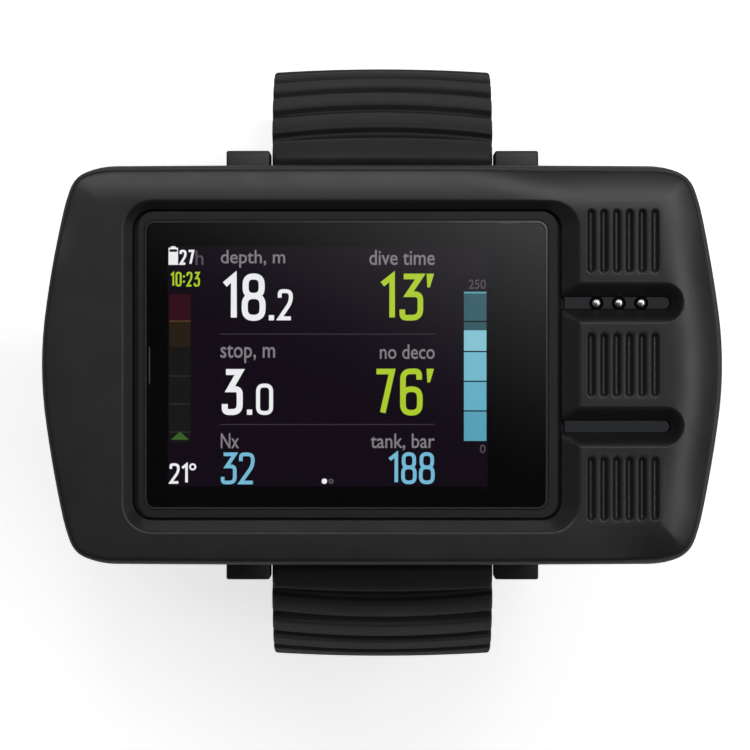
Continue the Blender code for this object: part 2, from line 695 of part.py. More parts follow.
def make_strap(name, side, arc, end_marks, pivot):
    """A strap half as one loft: bar block, ribs, bend and flat end."""
    pairs = end_block_pairs(arc)
    sections = [strap_section(side, outer, inner, STRAP_HALF) for outer, inner in pairs]
    turn_over = arc["r"] * radians(90 - ARC_START) + arc["z"] - BEND_Z
    bend = [turn_over + BEND_R * pi / 2 * i / 8 for i in range(1, 9)]
    for s in strap_marks()[1:] + bend:
        outer, inward = strap_station(arc, s)
        thickness = strap_thickness(s)
        # The inner line stays at one depth while the ribs rise and fall on the outer line.
        depth = STRAP_THICK if s < turn_over else STRAP_PLAIN
        rise = depth - thickness if s < turn_over else 0
        inner = (outer[0] + inward[0] * depth, outer[1] + inward[1] * depth)
        outer = (outer[0] + inward[0] * rise, outer[1] + inward[1] * rise)
        sections.append(strap_section(side, outer, inner, strap_half_width(s)))
    for u, low, high, half in end_marks:
        sections.append(strap_section(side, (u, low), (u, high), half))
    strap = loft(name, sections, STRAP_BLACK, pivot)
    bore = rod(f"{name}_bore", BAR_R + 0.25, (-20, side * BAR_U, BAR_Z), (20, side * BAR_U, BAR_Z))
    boolean(strap, bore)
    return strap


def make_buckle_half():
    pivot = empty_at("strap_buckle_hinge", 0, BAR_U, BAR_Z, ROOT)
    low, high = SOLE_Z, SOLE_Z + STRAP_PLAIN
    marks = (
        (BUCKLE_U + 0.4, low, high + 0.2, STRAP_NARROW),
        (BUCKLE_U - 0.9, low + 0.15, high + 0.05, STRAP_NARROW),
        (BUCKLE_U - 1.7, low + 1.0, high - 0.8, STRAP_NARROW),
    )
    strap = make_strap("strap_buckle_half", 1, TOP_ARC, marks, pivot)
    at = (BUCKLE_U, BUCKLE_Z)
    boolean(strap, rod("buckle_bar_bore", BUCKLE_BAR_R + 0.2, (-20, *at), (20, *at)))
    boolean(strap, box("tongue_notch", (-2.3, 2.3), (BUCKLE_U - 4, BUCKLE_U + 3.8), (low - 1, high + 2)))
    turn = empty_at("buckle_frame_hinge", 0, *at, pivot)
    frame = box("buckle_frame", (-FRAME_X[1], FRAME_X[1]), (FRAME_END, BUCKLE_U + 1.8),
                (SOLE_Z, FRAME_TOP), STEEL, turn, bevel=0.6)
    boolean(frame, box("frame_window", (-FRAME_X[0], FRAME_X[0]), (FRAME_END + 3.4, 30), (-60, -40)))
    boolean(frame, rod("frame_bore", BUCKLE_BAR_R + 0.12, (-17.2, *at), (17.2, *at)))
    rod("buckle_bar", BUCKLE_BAR_R, (-16.9, *at), (16.9, *at), STEEL, turn)
    make_tongue(empty_at("buckle_tongue_hinge", 0, *at, turn))
    return pivot


def make_tongue(pivot):
    """A blade from the buckle bar to the top of the frame's far side, with a hub round the bar."""
    tip_y, rest_z = FRAME_END + 0.6, FRAME_TOP + 0.3
    line = (
        ((BUCKLE_U, BUCKLE_Z + 1.2), (BUCKLE_U, BUCKLE_Z - 0.4)),
        ((BUCKLE_U - 4, BUCKLE_Z + 1.9), (BUCKLE_U - 4, BUCKLE_Z + 0.3)),
        ((FRAME_END + 3.6, rest_z + 1.3), (FRAME_END + 3.6, rest_z)),
        ((tip_y, rest_z + 1.0), (tip_y, rest_z + 0.1)),
    )
    sections = [strap_section(1, low, high, TONGUE_HALF, 0.3) for high, low in line]
    tongue = loft("buckle_tongue", sections, STEEL, pivot)
    at = (BUCKLE_U, BUCKLE_Z)
    boolean(tongue, rod("tongue_hub", 1.65, (-TONGUE_HALF - 0.6, *at), (TONGUE_HALF + 0.6, *at)), "UNION")
    boolean(tongue, rod("tongue_bore", BUCKLE_BAR_R + 0.12, (-5, *at), (5, *at)))


def make_hole_half():
    pivot = empty_at("strap_hole_hinge", 0, -BAR_U, BAR_Z, ROOT)
    low, high = SOLE_Z, SOLE_Z + STRAP_PLAIN
    marks = [(TIP_U + 6.0, low, high, STRAP_NARROW)]
    for i in range(1, 5):
        angle = pi / 2 * i / 4.4
        marks.append((TIP_U + 6.0 - 6.0 * sin(angle), low, high, 4.5 + (STRAP_NARROW - 4.5) * cos(angle)))
    strap = make_strap("strap_hole_half", -1, BOTTOM_ARC, marks, pivot)
    centre_u = BOTTOM_ARC["u"] + BOTTOM_ARC["r"] - BEND_R
    for k in range(HOLES):
        # Holes run from near the tip, along the flat and then round the bend.
        along = centre_u - TIP_U - FIRST_HOLE - HOLE_PITCH * k
        angle = max(-along, 0) / BEND_R
        middle = BEND_R - STRAP_PLAIN / 2
        u = centre_u - max(along, 0) + middle * sin(angle)
        z = BEND_Z - middle * cos(angle)
        hole = rod(f"strap_hole_{k}", HOLE_R, (0, 0, -4), (0, 0, 4), sides=8)
        hole.location = (0, -u * MM, z * MM)
        hole.rotation_euler.x = -angle
        boolean(strap, hole)
    return pivot


def bend_block(name, radii, half, angles, finish=None, pivot=None):
    """A block bent about the top half's lower bend, between two angles from straight down."""
    centre_u = TOP_ARC["u"] + TOP_ARC["r"] - BEND_R
    sections = []
    for i in range(KEEPER_STEPS + 1):
        angle = radians(angles[0] + (angles[1] - angles[0]) * i / KEEPER_STEPS)
        corners = ((half, radii[0]), (half, radii[1]), (-half, radii[1]), (-half, radii[0]))
        sections.append([(x, centre_u + r * sin(angle), BEND_Z - r * cos(angle)) for x, r in corners])
    return loft(name, sections, finish, pivot)


def make_keepers(strap_pivot):
    centre_u = TOP_ARC["u"] + TOP_ARC["r"] - BEND_R
    slide = empty_at("keeper_slide", 0, centre_u, BEND_Z, strap_pivot)
    inner, outer = BEND_R - STRAP_PLAIN - 0.3, BEND_R + TIP_ROOM
    for name, angle in KEEPERS:
        pivot = slide if name == "keeper_sliding" else strap_pivot
        span = (angle - KEEPER_SPAN, angle + KEEPER_SPAN)
        radii = (inner - KEEPER_WALL, outer + KEEPER_WALL)
        keeper = bend_block(name, radii, STRAP_NARROW + 0.4 + KEEPER_WALL, span, STRAP_BLACK, pivot)
        hollow = (span[0] - 3, span[1] + 3)
        boolean(keeper, bend_block(f"{name}_hollow", (inner, outer), STRAP_NARROW + 0.4, hollow))


make_bezel()
make_back_case()
make_seals_and_screws()
make_display()
make_boards()
make_buttons()
make_contacts()
make_bars()
make_keepers(make_buckle_half())
make_hole_half()
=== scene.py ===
"""The looks of the dive computer: fine shells, pads, strap, buckle, lit display and their materials.

Lengths are millimetres in the case's own frame: x to the right, y up the display, z out of the display,
z = 0 on the case's back. place() turns them into the row's metres.
"""

import json
from math import cos, degrees, hypot, pi, radians, sin

import bmesh
import bpy
import numpy as np
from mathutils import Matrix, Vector
from mathutils.geometry import delaunay_2d_cdt


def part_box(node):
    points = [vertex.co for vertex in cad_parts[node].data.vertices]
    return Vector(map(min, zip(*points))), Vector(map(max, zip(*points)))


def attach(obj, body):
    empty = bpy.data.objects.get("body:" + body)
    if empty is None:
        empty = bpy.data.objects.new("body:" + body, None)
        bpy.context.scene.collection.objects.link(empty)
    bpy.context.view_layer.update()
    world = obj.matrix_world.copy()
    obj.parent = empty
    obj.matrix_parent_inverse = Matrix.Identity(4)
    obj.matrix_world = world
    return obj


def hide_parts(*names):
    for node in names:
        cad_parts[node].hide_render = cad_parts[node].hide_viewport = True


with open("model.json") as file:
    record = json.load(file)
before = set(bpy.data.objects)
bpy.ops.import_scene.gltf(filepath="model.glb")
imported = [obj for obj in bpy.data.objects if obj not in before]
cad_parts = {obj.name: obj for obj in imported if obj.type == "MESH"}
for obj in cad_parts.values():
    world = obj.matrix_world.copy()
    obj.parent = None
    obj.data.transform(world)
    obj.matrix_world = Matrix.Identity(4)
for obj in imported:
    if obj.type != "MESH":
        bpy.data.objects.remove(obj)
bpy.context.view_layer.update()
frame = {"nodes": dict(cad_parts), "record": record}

MM = 0.001
bezel_low, bezel_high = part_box("bezel_shell")
CASE_Y = (bezel_low.y + bezel_high.y) / 2
CASE_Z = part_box("back_case")[0].z

# Case outline: apex of the short side, then arcs of (radius, turn in degrees, steps) to the long edge
SIDE_APEX = bezel_high.x / MM
OUTLINE_ARCS = (
    (62, 7.5, 7), (185, 4.7, 12), (30, 7.3, 5), (8, 8.5, 4), (4.6, 42, 10), (13, 19.6, 7), (5874, 0.4, 30),
)
SMALLEST_ARC = 0.4

BACK_RIM = 13.9
BEZEL_RIM = 14.9
WIDEST_Z = 17.0
DECK_UNDER = 20.5
BAY_FLOOR = 22.2
SLOT_FLOOR = 24.3
FACE_TOP = 26.6
WALL = 2.4

BAY = (-39.5, 29.95, -25.5, 25.0)
BAY_FOOT = (-38.05, 27.3, -23.6, 23.65)
BAY_CORNER = 4.4
FOOT_TIGHTER = 1.5
BAY_STEP = 24.85
SURROUND = (-37.3, 26.7, -23.3, 23.4)
GLASS = (-36.35, 25.25, -22.05, 22.05)
GLASS_CORNER = 1.6
GLASS_RINGS = ((0, 22.5), (0, 24.6), (0.05, 24.655), (0.36, 24.72))
WINDOW = (-35.6, 24.5, -21.3, 21.3)
LIT = (-32.88, 16.08, -18.56, 18.16)
DOT_PITCH = 0.077

SLOT_Y = 9.44
SLOT_START = 26.2
SLOT_END = 46.0
SLOT_HALF = 2.95
SLOT_WALL = 2.0
STRIP_HALF = 0.95
STRIP_END = 43.8
PIN_XS = (32.65, 36.09, 39.5)

PAD_X = 36.75
PAD_HALF = (5.86, 5.81)
PAD_SEAM = 0.02
PAD_REACH = 7.0
PAD_GRID = 6
POCKET_FLOOR = 22.8
PAD_UNDER = 24.2
STEM_R = 1.5
STEM_END = 18.5
CLIP_R = 1.05
CLIP_GROOVE = (19.45, 20.35)
PAD_ROWS = (("upper", 18.87), ("middle", 0.0), ("lower", -18.87))
GROOVE_XS = tuple(31.75 + 1.94 * k for k in range(6))
GROOVE_HALF_LENGTH = 4.89
GROOVE_HALF = 0.675
GROOVE_DEPTH = 0.6
GROOVE_WALL = 0.54


def place(point):
    """Case millimetres to the row's metres."""
    return Vector((point[0] * MM, point[1] * MM + CASE_Y, point[2] * MM + CASE_Z))


# ---------------------------------------------------------------- shading


class Nodes:
    """A material's node tree with short ways to add and join nodes."""

    def __init__(self, name):
        self.material = bpy.data.materials.new(name)
        self.material.use_nodes = True
        self.tree = self.material.node_tree
        self.shader = self.tree.nodes["Principled BSDF"]
        self.space = self.add("ShaderNodeTexCoord").outputs["Object"]

    def add(self, kind, **values):
        node = self.tree.nodes.new(kind)
        for key, value in values.items():
            setattr(node, key, value)
        return node

    def join(self, start, end):
        self.tree.links.new(start, end)

    def feed(self, name, source):
        self.join(source, self.shader.inputs[name])

    def noise(self, scale, detail=3.0, stretch=None):
        node = self.add("ShaderNodeTexNoise")
        node.inputs["Scale"].default_value = scale
        node.inputs["Detail"].default_value = detail
        node.inputs["Roughness"].default_value = 0.55
        source = self.space
        if stretch:
            mapping = self.add("ShaderNodeMapping")
            mapping.inputs["Scale"].default_value = stretch
            self.join(self.space, mapping.inputs["Vector"])
            source = mapping.outputs["Vector"]
        self.join(source, node.inputs["Vector"])
        return node.outputs["Fac"]

    def ramp(self, source, stops):
        """A colour ramp; stops are (place, colour)."""
        node = self.add("ShaderNodeValToRGB")
        for element, (position, colour) in zip(node.color_ramp.elements, stops):
            element.position = position
            element.color = (*colour, 1)
        for position, colour in stops[2:]:
            node.color_ramp.elements.new(position).color = (*colour, 1)
        self.join(source, node.inputs["Fac"])
        return node.outputs["Color"]

    def grey_ramp(self, source, low, high, start=0.3, end=0.7):
        return self.ramp(source, ((start, (low,) * 3), (end, (high,) * 3)))

    def mixed(self, share, first, second):
        """A colour between two colours or outputs, by a share."""
        node = self.add("ShaderNodeMix", data_type="RGBA")
        for socket, value in zip((node.inputs[0], node.inputs[6], node.inputs[7]), (share, first, second)):
            if isinstance(value, tuple):
                socket.default_value = (*value, 1)
            else:
                self.join(value, socket)
        return node.outputs[2]

    def bump(self, source, distance, strength=1.0, under=None):
        node = self.add("ShaderNodeBump")
        node.inputs["Distance"].default_value = distance
        node.inputs["Strength"].default_value = strength
        self.join(source, node.inputs["Height"])
        if under is not None:
            self.join(under, node.inputs["Normal"])
        return node.outputs["Normal"]

    def set(self, **values):
        for key, value in values.items():
            self.shader.inputs[key.replace("_", " ")].default_value = value
        return self.material


# How dark, rough and shiny upright faces are: their darker tone is painted shade that keeps the sides dim,
# and the sides of a mould leave a coarser grain
UPRIGHT_SHADE_TONE = 0.7
UPRIGHT_ROUGHNESS = 0.7
UPRIGHT_SHINE = 0.25


def moulded(name, dark, light, rough, grain=9000, relief=0.000012, specular=0.5, upright=(0.42, 0.8)):
    """Moulded plastic or elastomer: spark-eroded grain, faint mottling and slightly polished patches.

    Faces turn from upright to level between the two heights of their normals in upright; upright faces get a
    darker base colour, which is painted shade.
    """
    made = Nodes(name)
    split = made.add("ShaderNodeSeparateXYZ")
    made.join(made.add("ShaderNodeTexCoord").outputs["Normal"], split.inputs[0])
    level = made.grey_ramp(split.outputs["Z"], 0.0, 1.0, *upright)
    tone = made.ramp(made.noise(90, 4), ((0.35, dark), (0.7, light)))
    # painted shade: upright faces get a darker base colour than level ones
    made.feed("Base Color", made.mixed(level, tuple(c * UPRIGHT_SHADE_TONE for c in dark), tone))
    polish = made.grey_ramp(made.noise(160, 5), rough[0], rough[1])
    made.feed("Roughness", made.mixed(level, (UPRIGHT_ROUGHNESS,) * 3, polish))
    made.feed("Specular IOR Level", made.mixed(level, (specular * UPRIGHT_SHINE,) * 3, (specular,) * 3))
    broad = made.bump(made.noise(1400, 2), relief * 1.2, 0.35)
    made.feed("Normal", made.bump(made.noise(grain, 2), relief, 0.6, broad))
    return made.material


def steel(name, tone=0.55, grain=(1, 30, 30)):
    """Brushed stainless steel, its lines along x."""
    made = Nodes(name)
    lines = made.noise(220, 3, stretch=grain)
    made.feed("Base Color", made.ramp(lines, ((0.3, (tone * 0.8,) * 3), (0.7, (tone,) * 3))))
    made.feed("Roughness", made.grey_ramp(lines, 0.22, 0.36))
    made.feed("Normal", made.bump(lines, 0.000006))
    return made.set(Metallic=1.0)


def lit(name, colour):
    """A glowing part of the display, with the faint lines between its rows of dots."""
    made = Nodes(name)
    wave = made.add("ShaderNodeTexWave", wave_type="BANDS", bands_direction="Y")
    wave.inputs["Scale"].default_value = 2 * pi / (20 * DOT_PITCH * MM)
    made.join(made.space, wave.inputs["Vector"])
    low = tuple(c * 0.93 for c in colour)
    made.feed("Emission Color", made.ramp(wave.outputs["Fac"], ((0.0, low), (1.0, colour))))
    return made.set(
        Base_Color=(0.002, 0.002, 0.002, 1), Roughness=0.4, Emission_Strength=1.0, Specular_IOR_Level=0.0
    )


def glass_material():
    """Polished mineral glass with the faintest smears."""
    made = Nodes("polished_glass")
    made.feed("Roughness", made.grey_ramp(made.noise(60, 4), 0.012, 0.03))
    return made.set(
        Base_Color=(0.96, 0.97, 0.98, 1), Transmission_Weight=1.0, IOR=1.5, Specular_IOR_Level=0.5,
    )


def glass_edge():
    """Ground edge of the glass, with a painted highlight: its shine rises towards its upper right corner."""
    made = Nodes("ground_glass_edge")
    along = made.add("ShaderNodeVectorMath", operation="DOT_PRODUCT")
    made.join(made.space, along.inputs[0])
    along.inputs[1].default_value = (12, 18, 0)
    painted_shine = ((0.1, (0.0,) * 3), (0.45, (0.13,) * 3), (0.7, (0.42,) * 3))
    # painted highlight: the edge's shine rises towards the upper right, where the light falls
    made.feed("Specular IOR Level", made.ramp(along.outputs["Value"], painted_shine))
    made.feed("Base Color", made.grey_ramp(made.noise(900), 0.042, 0.052))
    made.feed("Roughness", made.grey_ramp(made.noise(160, 5), 0.3, 0.36))
    made.feed("Normal", made.bump(made.noise(9000, 2), 0.000002))
    return made.material


def board_material():
    """Green circuit board with lighter copper tracks."""
    made = Nodes("circuit_board")
    brick = made.add("ShaderNodeTexBrick")
    brick.inputs["Scale"].default_value = 260
    brick.inputs["Color1"].default_value = (0.008, 0.09, 0.035, 1)
    brick.inputs["Color2"].default_value = (0.006, 0.07, 0.03, 1)
    brick.inputs["Mortar"].default_value = (0.05, 0.16, 0.05, 1)
    made.join(made.space, brick.inputs["Vector"])
    made.feed("Base Color", brick.outputs["Color"])
    made.feed("Roughness", made.grey_ramp(made.noise(300), 0.35, 0.55))
    return made.material


SHELL = moulded(
    "shell_plastic", (0.011, 0.0116, 0.0125), (0.014, 0.0146, 0.0158), (0.36, 0.42), relief=0.000005,
)
BACK = moulded("back_plastic", (0.0085, 0.009, 0.0098), (0.011, 0.0115, 0.0125), (0.42, 0.52), 6000, 0.00002)
STRAP = moulded(
    "strap_elastomer", (0.018, 0.0182, 0.0186), (0.023, 0.0232, 0.0238), (0.5, 0.58), 7000, 0.000008,
    specular=0.27, upright=(0.35, 0.8),
)
RIM = moulded(
    "surround_plastic", (0.008, 0.0085, 0.009), (0.01, 0.0105, 0.011), (0.38, 0.44),
    relief=0.000004, specular=0.36,
)
STRIP = moulded(
    "strip_plastic", (0.009, 0.0105, 0.014), (0.012, 0.014, 0.018), (0.36, 0.44),
    relief=0.000005, specular=0.36,
)
DARK_RUBBER = moulded("seal_rubber", (0.006, 0.006, 0.0065), (0.009, 0.009, 0.0095), (0.6, 0.75))
INNER_PLASTIC = moulded("inner_plastic", (0.05, 0.05, 0.053), (0.07, 0.07, 0.074), (0.5, 0.62))
FOAM = moulded("foam", (0.08,) * 3, (0.13,) * 3, (0.85, 0.95), 2500, 0.00008)
STEEL = steel("brushed_steel")
PIN_STEEL = steel("contact_steel", 0.62, (1, 1, 1))
CAN = steel("metal_can", 0.42, (8, 1, 8))
GLASS_EDGE = glass_edge()
MASK = moulded(
    "black_print", (0.0012, 0.0012, 0.0013), (0.0018, 0.0018, 0.0019), (0.8, 0.9), relief=0.0, specular=0.02,
)
GLASS_CLEAR = glass_material()
BOARD = board_material()


# ---------------------------------------------------------------- mesh helpers


def finish_piece(obj, material, body, slot, *replaced):
    obj.data.materials.clear()
    obj.data.materials.append(material)
    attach(obj, body)
    if replaced:
        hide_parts(*replaced)


def put(name, data):
    """A new object in the scene."""
    obj = bpy.data.objects.new(name, data)
    bpy.context.scene.collection.objects.link(obj)
    return obj


def mesh_of(name, bm):
    mesh = bpy.data.meshes.new(name)
    bm.to_mesh(mesh)
    bm.free()
    return mesh


def evaluated(obj):
    """The object's mesh with its modifiers in it; letters become a mesh too."""
    bpy.context.view_layer.update()
    return bpy.data.meshes.new_from_object(obj.evaluated_get(bpy.context.evaluated_depsgraph_get()))


def object_of(name, bm, smooth_angle=40):
    """A mesh in case millimetres becomes an object in the row's metres."""
    bm.normal_update()
    bmesh.ops.recalc_face_normals(bm, faces=bm.faces)
    for vert in bm.verts:
        vert.co = place(vert.co)
    mesh = mesh_of(name, bm)
    obj = put(name, mesh)
    shade(mesh, smooth_angle)
    return obj


def solid(bm, sections, closed=False):
    """A body through sections of equally many points, closed in a ring or with a lid at each end."""
    rows = [[bm.verts.new(point) for point in section] for section in sections]
    for low, high in zip(rows, rows[1:] + rows[:1] if closed else rows[1:]):
        for i in range(len(low)):
            j = (i + 1) % len(low)
            bm.faces.new((low[i], low[j], high[j], high[i]))
    if not closed:
        bm.faces.new(list(reversed(rows[0])))
        bm.faces.new(rows[-1])


def loft(name, sections, smooth_angle=40):
    bm = bmesh.new()
    solid(bm, sections)
    return object_of(name, bm, smooth_angle)


def modify(obj, kind, **values):
    made = obj.modifiers.new(kind.lower(), kind)
    for key, value in values.items():
        setattr(made, key, value)


def apply_all(obj, smooth_angle=40):
    """Replaces the mesh by its evaluated one, so that no modifier is left."""
    mesh = evaluated(obj)
    obj.modifiers.clear()
    obj.data = mesh
    shade(mesh, smooth_angle)


BROAD_FACE = 20e-6


def shade(mesh, smooth_angle):
    """Smooth shading, but flat on the broad plane faces with many corners or a large area."""
    mesh.shade_smooth()
    mesh.set_sharp_from_angle(angle=radians(smooth_angle))
    for face in mesh.polygons:
        if face.area > BROAD_FACE or face.loop_total > 8:
            face.use_smooth = False


def carve(obj, others, operation="DIFFERENCE"):
    """Cuts or joins other objects, which are then removed."""
    for other in others:
        modify(obj, "BOOLEAN", operation=operation, object=other, solver="EXACT")
        apply_all(obj)
        bpy.data.objects.remove(other)


def box(name, xs, ys, zs, bevel=0.0, segments=3):
    bm = bmesh.new()
    bmesh.ops.create_cube(bm, size=1)
    for vert in bm.verts:
        for axis, (low, high) in enumerate((xs, ys, zs)):
            vert.co[axis] = high if vert.co[axis] > 0 else low
    if bevel:
        bmesh.ops.bevel(bm, geom=list(bm.edges), offset=bevel, segments=segments, affect="EDGES", profile=0.5)
    return object_of(name, bm)


def rod(name, radius, start, end, sides=48, bevel=0.0):
    """A cylinder between two points, with its rims rounded."""
    bm = bmesh.new()
    span = Vector(end) - Vector(start)
    radii = {"radius1": radius, "radius2": radius}
    bmesh.ops.create_cone(bm, cap_ends=True, segments=sides, depth=span.length, **radii)
    if bevel:
        rims = [e for e in bm.edges if any(len(f.verts) > 4 for f in e.link_faces)]
        bmesh.ops.bevel(bm, geom=rims, offset=bevel, segments=3, affect="EDGES", profile=0.5)
    turn = span.to_track_quat("Z", "Y").to_matrix()
    middle = (Vector(start) + Vector(end)) / 2
    for vert in bm.verts:
        vert.co = turn @ vert.co + middle
    return object_of(name, bm)


def around(x, y, radius, angles):
    return [(x + radius * cos(a), y + radius * sin(a)) for a in angles]


def ring_angles(count):
    return [2 * pi * i / count for i in range(count)]


def turned(name, profile, centre, sides=48):
    """A solid of revolution about z from (radius, height) pairs that start and end on the axis."""
    rings = [(around(*centre, max(radius, 0.002), ring_angles(sides)), z) for radius, z in profile]
    return loft(name, [[(x, y, z) for x, y in ring] for ring, z in rings])


# ---------------------------------------------------------------- outlines and distances


def case_outline(inset):
    """The case's outline drawn in by inset; every inset gives equally many points."""
    x, y, heading = SIDE_APEX - inset, 0.0, 0.0
    quarter = [(x, y)]
    for radius, turn, steps in OUTLINE_ARCS:
        radius = max(radius - inset, SMALLEST_ARC)
        for _ in range(steps):
            after = heading + radians(turn / steps)
            x -= radius * (cos(heading) - cos(after))
            y += radius * (sin(after) - sin(heading))
            heading = after
            quarter.append((x, y))
    quarter[-1] = (0.0, quarter[-1][1])
    return mirrored(quarter, quarter[:-1])


def mirrored(quarter, left):
    """A quarter of an outline, mirrored to the left and then downwards; left is what is taken to the left."""
    upper = quarter + [(-x, y) for x, y in reversed(left)]
    return upper + [(x, -y) for x, y in reversed(upper[1:-1])]


def rounded(rect, corner, grow=0.0, steps=8, spacing=None):
    """A rounded rectangle, grown outwards, with extra points along its straight sides at a spacing."""
    x0, x1, y0, y1 = rect[0] - grow, rect[1] + grow, rect[2] - grow, rect[3] + grow
    corner = max(corner + grow, 0.15)
    points = []
    corners = ((x1, y1, -1, -1), (x0, y1, 1, -1), (x0, y0, 1, 1), (x1, y0, -1, 1))
    for turn, (x, y, sx, sy) in enumerate(corners):
        angles = [pi / 2 * (turn + i / steps) for i in range(steps + 1)]
        points += around(x + sx * corner, y + sy * corner, corner, angles)
    return dense(points, spacing) if spacing else points


def dense(points, spacing):
    """The same polygon with points added on its long sides."""
    result = []
    for (ax, ay), (bx, by) in zip(points, points[1:] + points[:1]):
        parts = max(1, round(hypot(bx - ax, by - ay) / spacing))
        result += [(ax + (bx - ax) * k / parts, ay + (by - ay) * k / parts) for k in range(parts)]
    return result


def rectangle_distance(p, rect, corner):
    """Signed distance to a rounded rectangle, negative inside."""
    centre = np.array([(rect[0] + rect[1]) / 2, (rect[2] + rect[3]) / 2])
    half = np.array([(rect[1] - rect[0]) / 2, (rect[3] - rect[2]) / 2])
    q = np.abs(p - centre) - half + corner
    return np.hypot(*np.maximum(q, 0).T) + np.minimum(q.max(axis=1), 0) - corner


def segment_distance(p, a, b):
    a, b = np.array(a), np.array(b)
    along = np.clip(((p - a) @ (b - a)) / ((b - a) @ (b - a)), 0, 1)
    return np.hypot(*(p - a - along[:, None] * (b - a)).T)


def polygon_distance(p, polygon):
    """Distance to a polygon's boundary."""
    nearest = np.full(len(p), 1e9)
    for i in range(len(polygon)):
        nearest = np.minimum(nearest, segment_distance(p, polygon[i - 1], polygon[i]))
    return nearest


def inside(p, polygon):
    """Which points lie inside a polygon, by counting crossings."""
    found = np.zeros(len(p), bool)
    for i in range(len(polygon)):
        (ax, ay), (bx, by) = polygon[i - 1], polygon[i]
        if ay == by:
            continue
        crosses = (p[:, 1] > min(ay, by)) & (p[:, 1] <= max(ay, by))
        at = ax + (p[:, 1] - ay) * (bx - ax) / (by - ay)
        found ^= crosses & (p[:, 0] < at)
    return found


def ramp01(value, low, high):
    t = np.clip((value - low) / (high - low), 0, 1)
    return t * t * (3 - 2 * t)


def between(values, share):
    return values[0] + (values[1] - values[0]) * share


def soft_min(a, b, radius):
    """The lower of two surfaces with the corner between them rounded."""
    h = np.maximum(radius - np.abs(a - b), 0) / radius
    return np.minimum(a, b) - h * h * radius / 4


# ---------------------------------------------------------------- the face as a height over x and y

OUTER = case_outline(0.0)
OUTER_COARSE = OUTER[::2]
WALL_INSET = 0.6
EDGE_ROLL = 0.8
ROLL_X = (21, 45)
CORNER_Y = 16
END_Y = (14, 24)
LEFT_REACH, RIGHT_REACH = 6.0, 8.3
LEFT_DROP = (0.2, 1.0)
RIGHT_DROP = (2.6, 2.0)
PIT_DEPTH = 1.3


def right_share(p):
    """How far a point lies in the right part, where the face rolls over broadly."""
    x, y = p[:, 0], p[:, 1]
    share = ramp01(x + 0.9 * np.maximum(y - CORNER_Y, 0) + 0.35 * np.minimum(y + CORNER_Y, 0), *ROLL_X)
    return share * share * (3 - 2 * share)


def face_height(p):
    """Flat in the middle, drawn down to the rim: tightly at the left, broadly at the right."""
    inset = polygon_distance(p, OUTER_COARSE)
    right = right_share(p)
    reach = between((LEFT_REACH, RIGHT_REACH), right)
    low = between(LEFT_DROP, ramp01(p[:, 1], *END_Y))
    broad = between(RIGHT_DROP, ramp01(np.abs(p[:, 1]), *END_Y))
    top = FACE_TOP - between((low, broad), right) * np.maximum(1 - inset / reach, 0) ** 2
    bend = np.clip((WALL_INSET + EDGE_ROLL - inset) / EDGE_ROLL, 0, 1)
    edge = top - EDGE_ROLL * (1 - np.sqrt(np.maximum(1 - bend**2, 0)))
    wall = WIDEST_Z + (top - EDGE_ROLL - WIDEST_Z) * np.clip(inset / WALL_INSET, 0, 1) ** 1.1
    return np.where(inset < WALL_INSET, wall, edge)


def slot_distance(p, y):
    """Signed distance to a slot's mouth, a pill that starts inside the bay."""
    return segment_distance(p, (15.0, y), (SLOT_END - SLOT_HALF, y)) - SLOT_HALF


def recess_height(p):
    """The display bay and the two slots: sloped walls down to their floors."""
    bay = rectangle_distance(p, BAY, BAY_CORNER)
    floor = rectangle_distance(p, BAY_FOOT, BAY_CORNER - FOOT_TIGHTER)
    height = BAY_STEP + (FACE_TOP - BAY_STEP) * floor / np.maximum(floor - bay, 0.2)
    for y in (SLOT_Y, -SLOT_Y):
        slot = slot_distance(p, y)
        sloped = SLOT_FLOOR + np.maximum(slot + SLOT_WALL, 0) * (FACE_TOP - SLOT_FLOOR) / SLOT_WALL
        pit = PIT_DEPTH * ramp01(-slot, SLOT_WALL + 0.02, SLOT_WALL + 0.12)
        height = np.minimum(height, sloped - pit)
    return np.where(floor < 0, BAY_FLOOR, height)


def shell_height(p):
    return soft_min(face_height(p), recess_height(p), 0.2)


def groove_distance(p, y):
    """Signed distance to the nearest of a pad's six grooves."""
    reach = GROOVE_HALF_LENGTH - GROOVE_HALF
    found = [segment_distance(p, (x, y - reach), (x, y + reach)) for x in GROOVE_XS]
    return np.min(found, axis=0) - GROOVE_HALF


def pad_height(y):
    def height(p):
        groove = groove_distance(p, y)
        cut = FACE_TOP - GROOVE_DEPTH + np.maximum(groove + GROOVE_WALL, 0) * GROOVE_DEPTH / GROOVE_WALL
        return soft_min(face_height(p), cut, 0.16)

    return height


def pad_outline(y, grow=0.0):
    rect = (PAD_X - PAD_HALF[0], PAD_X + PAD_HALF[0], y - PAD_HALF[1], y + PAD_HALF[1])
    return rounded(rect, 1.5, grow, 8, 0.8)


def triangulated(outer, holes, lines, points, height):
    """A bmesh over the outline less its holes, whose edges follow the given closed lines."""
    loops = [outer, *holes, *lines]
    corners = [Vector(p) for loop in loops for p in loop] + [Vector(p) for p in points]
    edges, start = [], 0
    for loop in loops:
        edges += [(start + i, start + (i + 1) % len(loop)) for i in range(len(loop))]
        start += len(loop)
    verts, _, faces, *_ = delaunay_2d_cdt(corners, edges, [], 0, 1e-5)
    flat = np.array([(v.x, v.y) for v in verts])
    faces = np.array(faces)
    middle = flat[faces].mean(axis=1)
    keep = inside(middle, outer)
    for hole in holes:
        keep &= ~inside(middle, hole)
    heights = height(flat)
    bm = bmesh.new()
    made = [bm.verts.new((x, y, z)) for (x, y), z in zip(flat, heights)]
    for face in faces[keep]:
        bm.faces.new([made[i] for i in face])
    for vert in [v for v in bm.verts if not v.link_faces]:
        bm.verts.remove(vert)
    return bm


def open_edges(bm, test):
    return [e for e in bm.edges if e.is_boundary and all(test(v.co) for v in e.verts)]


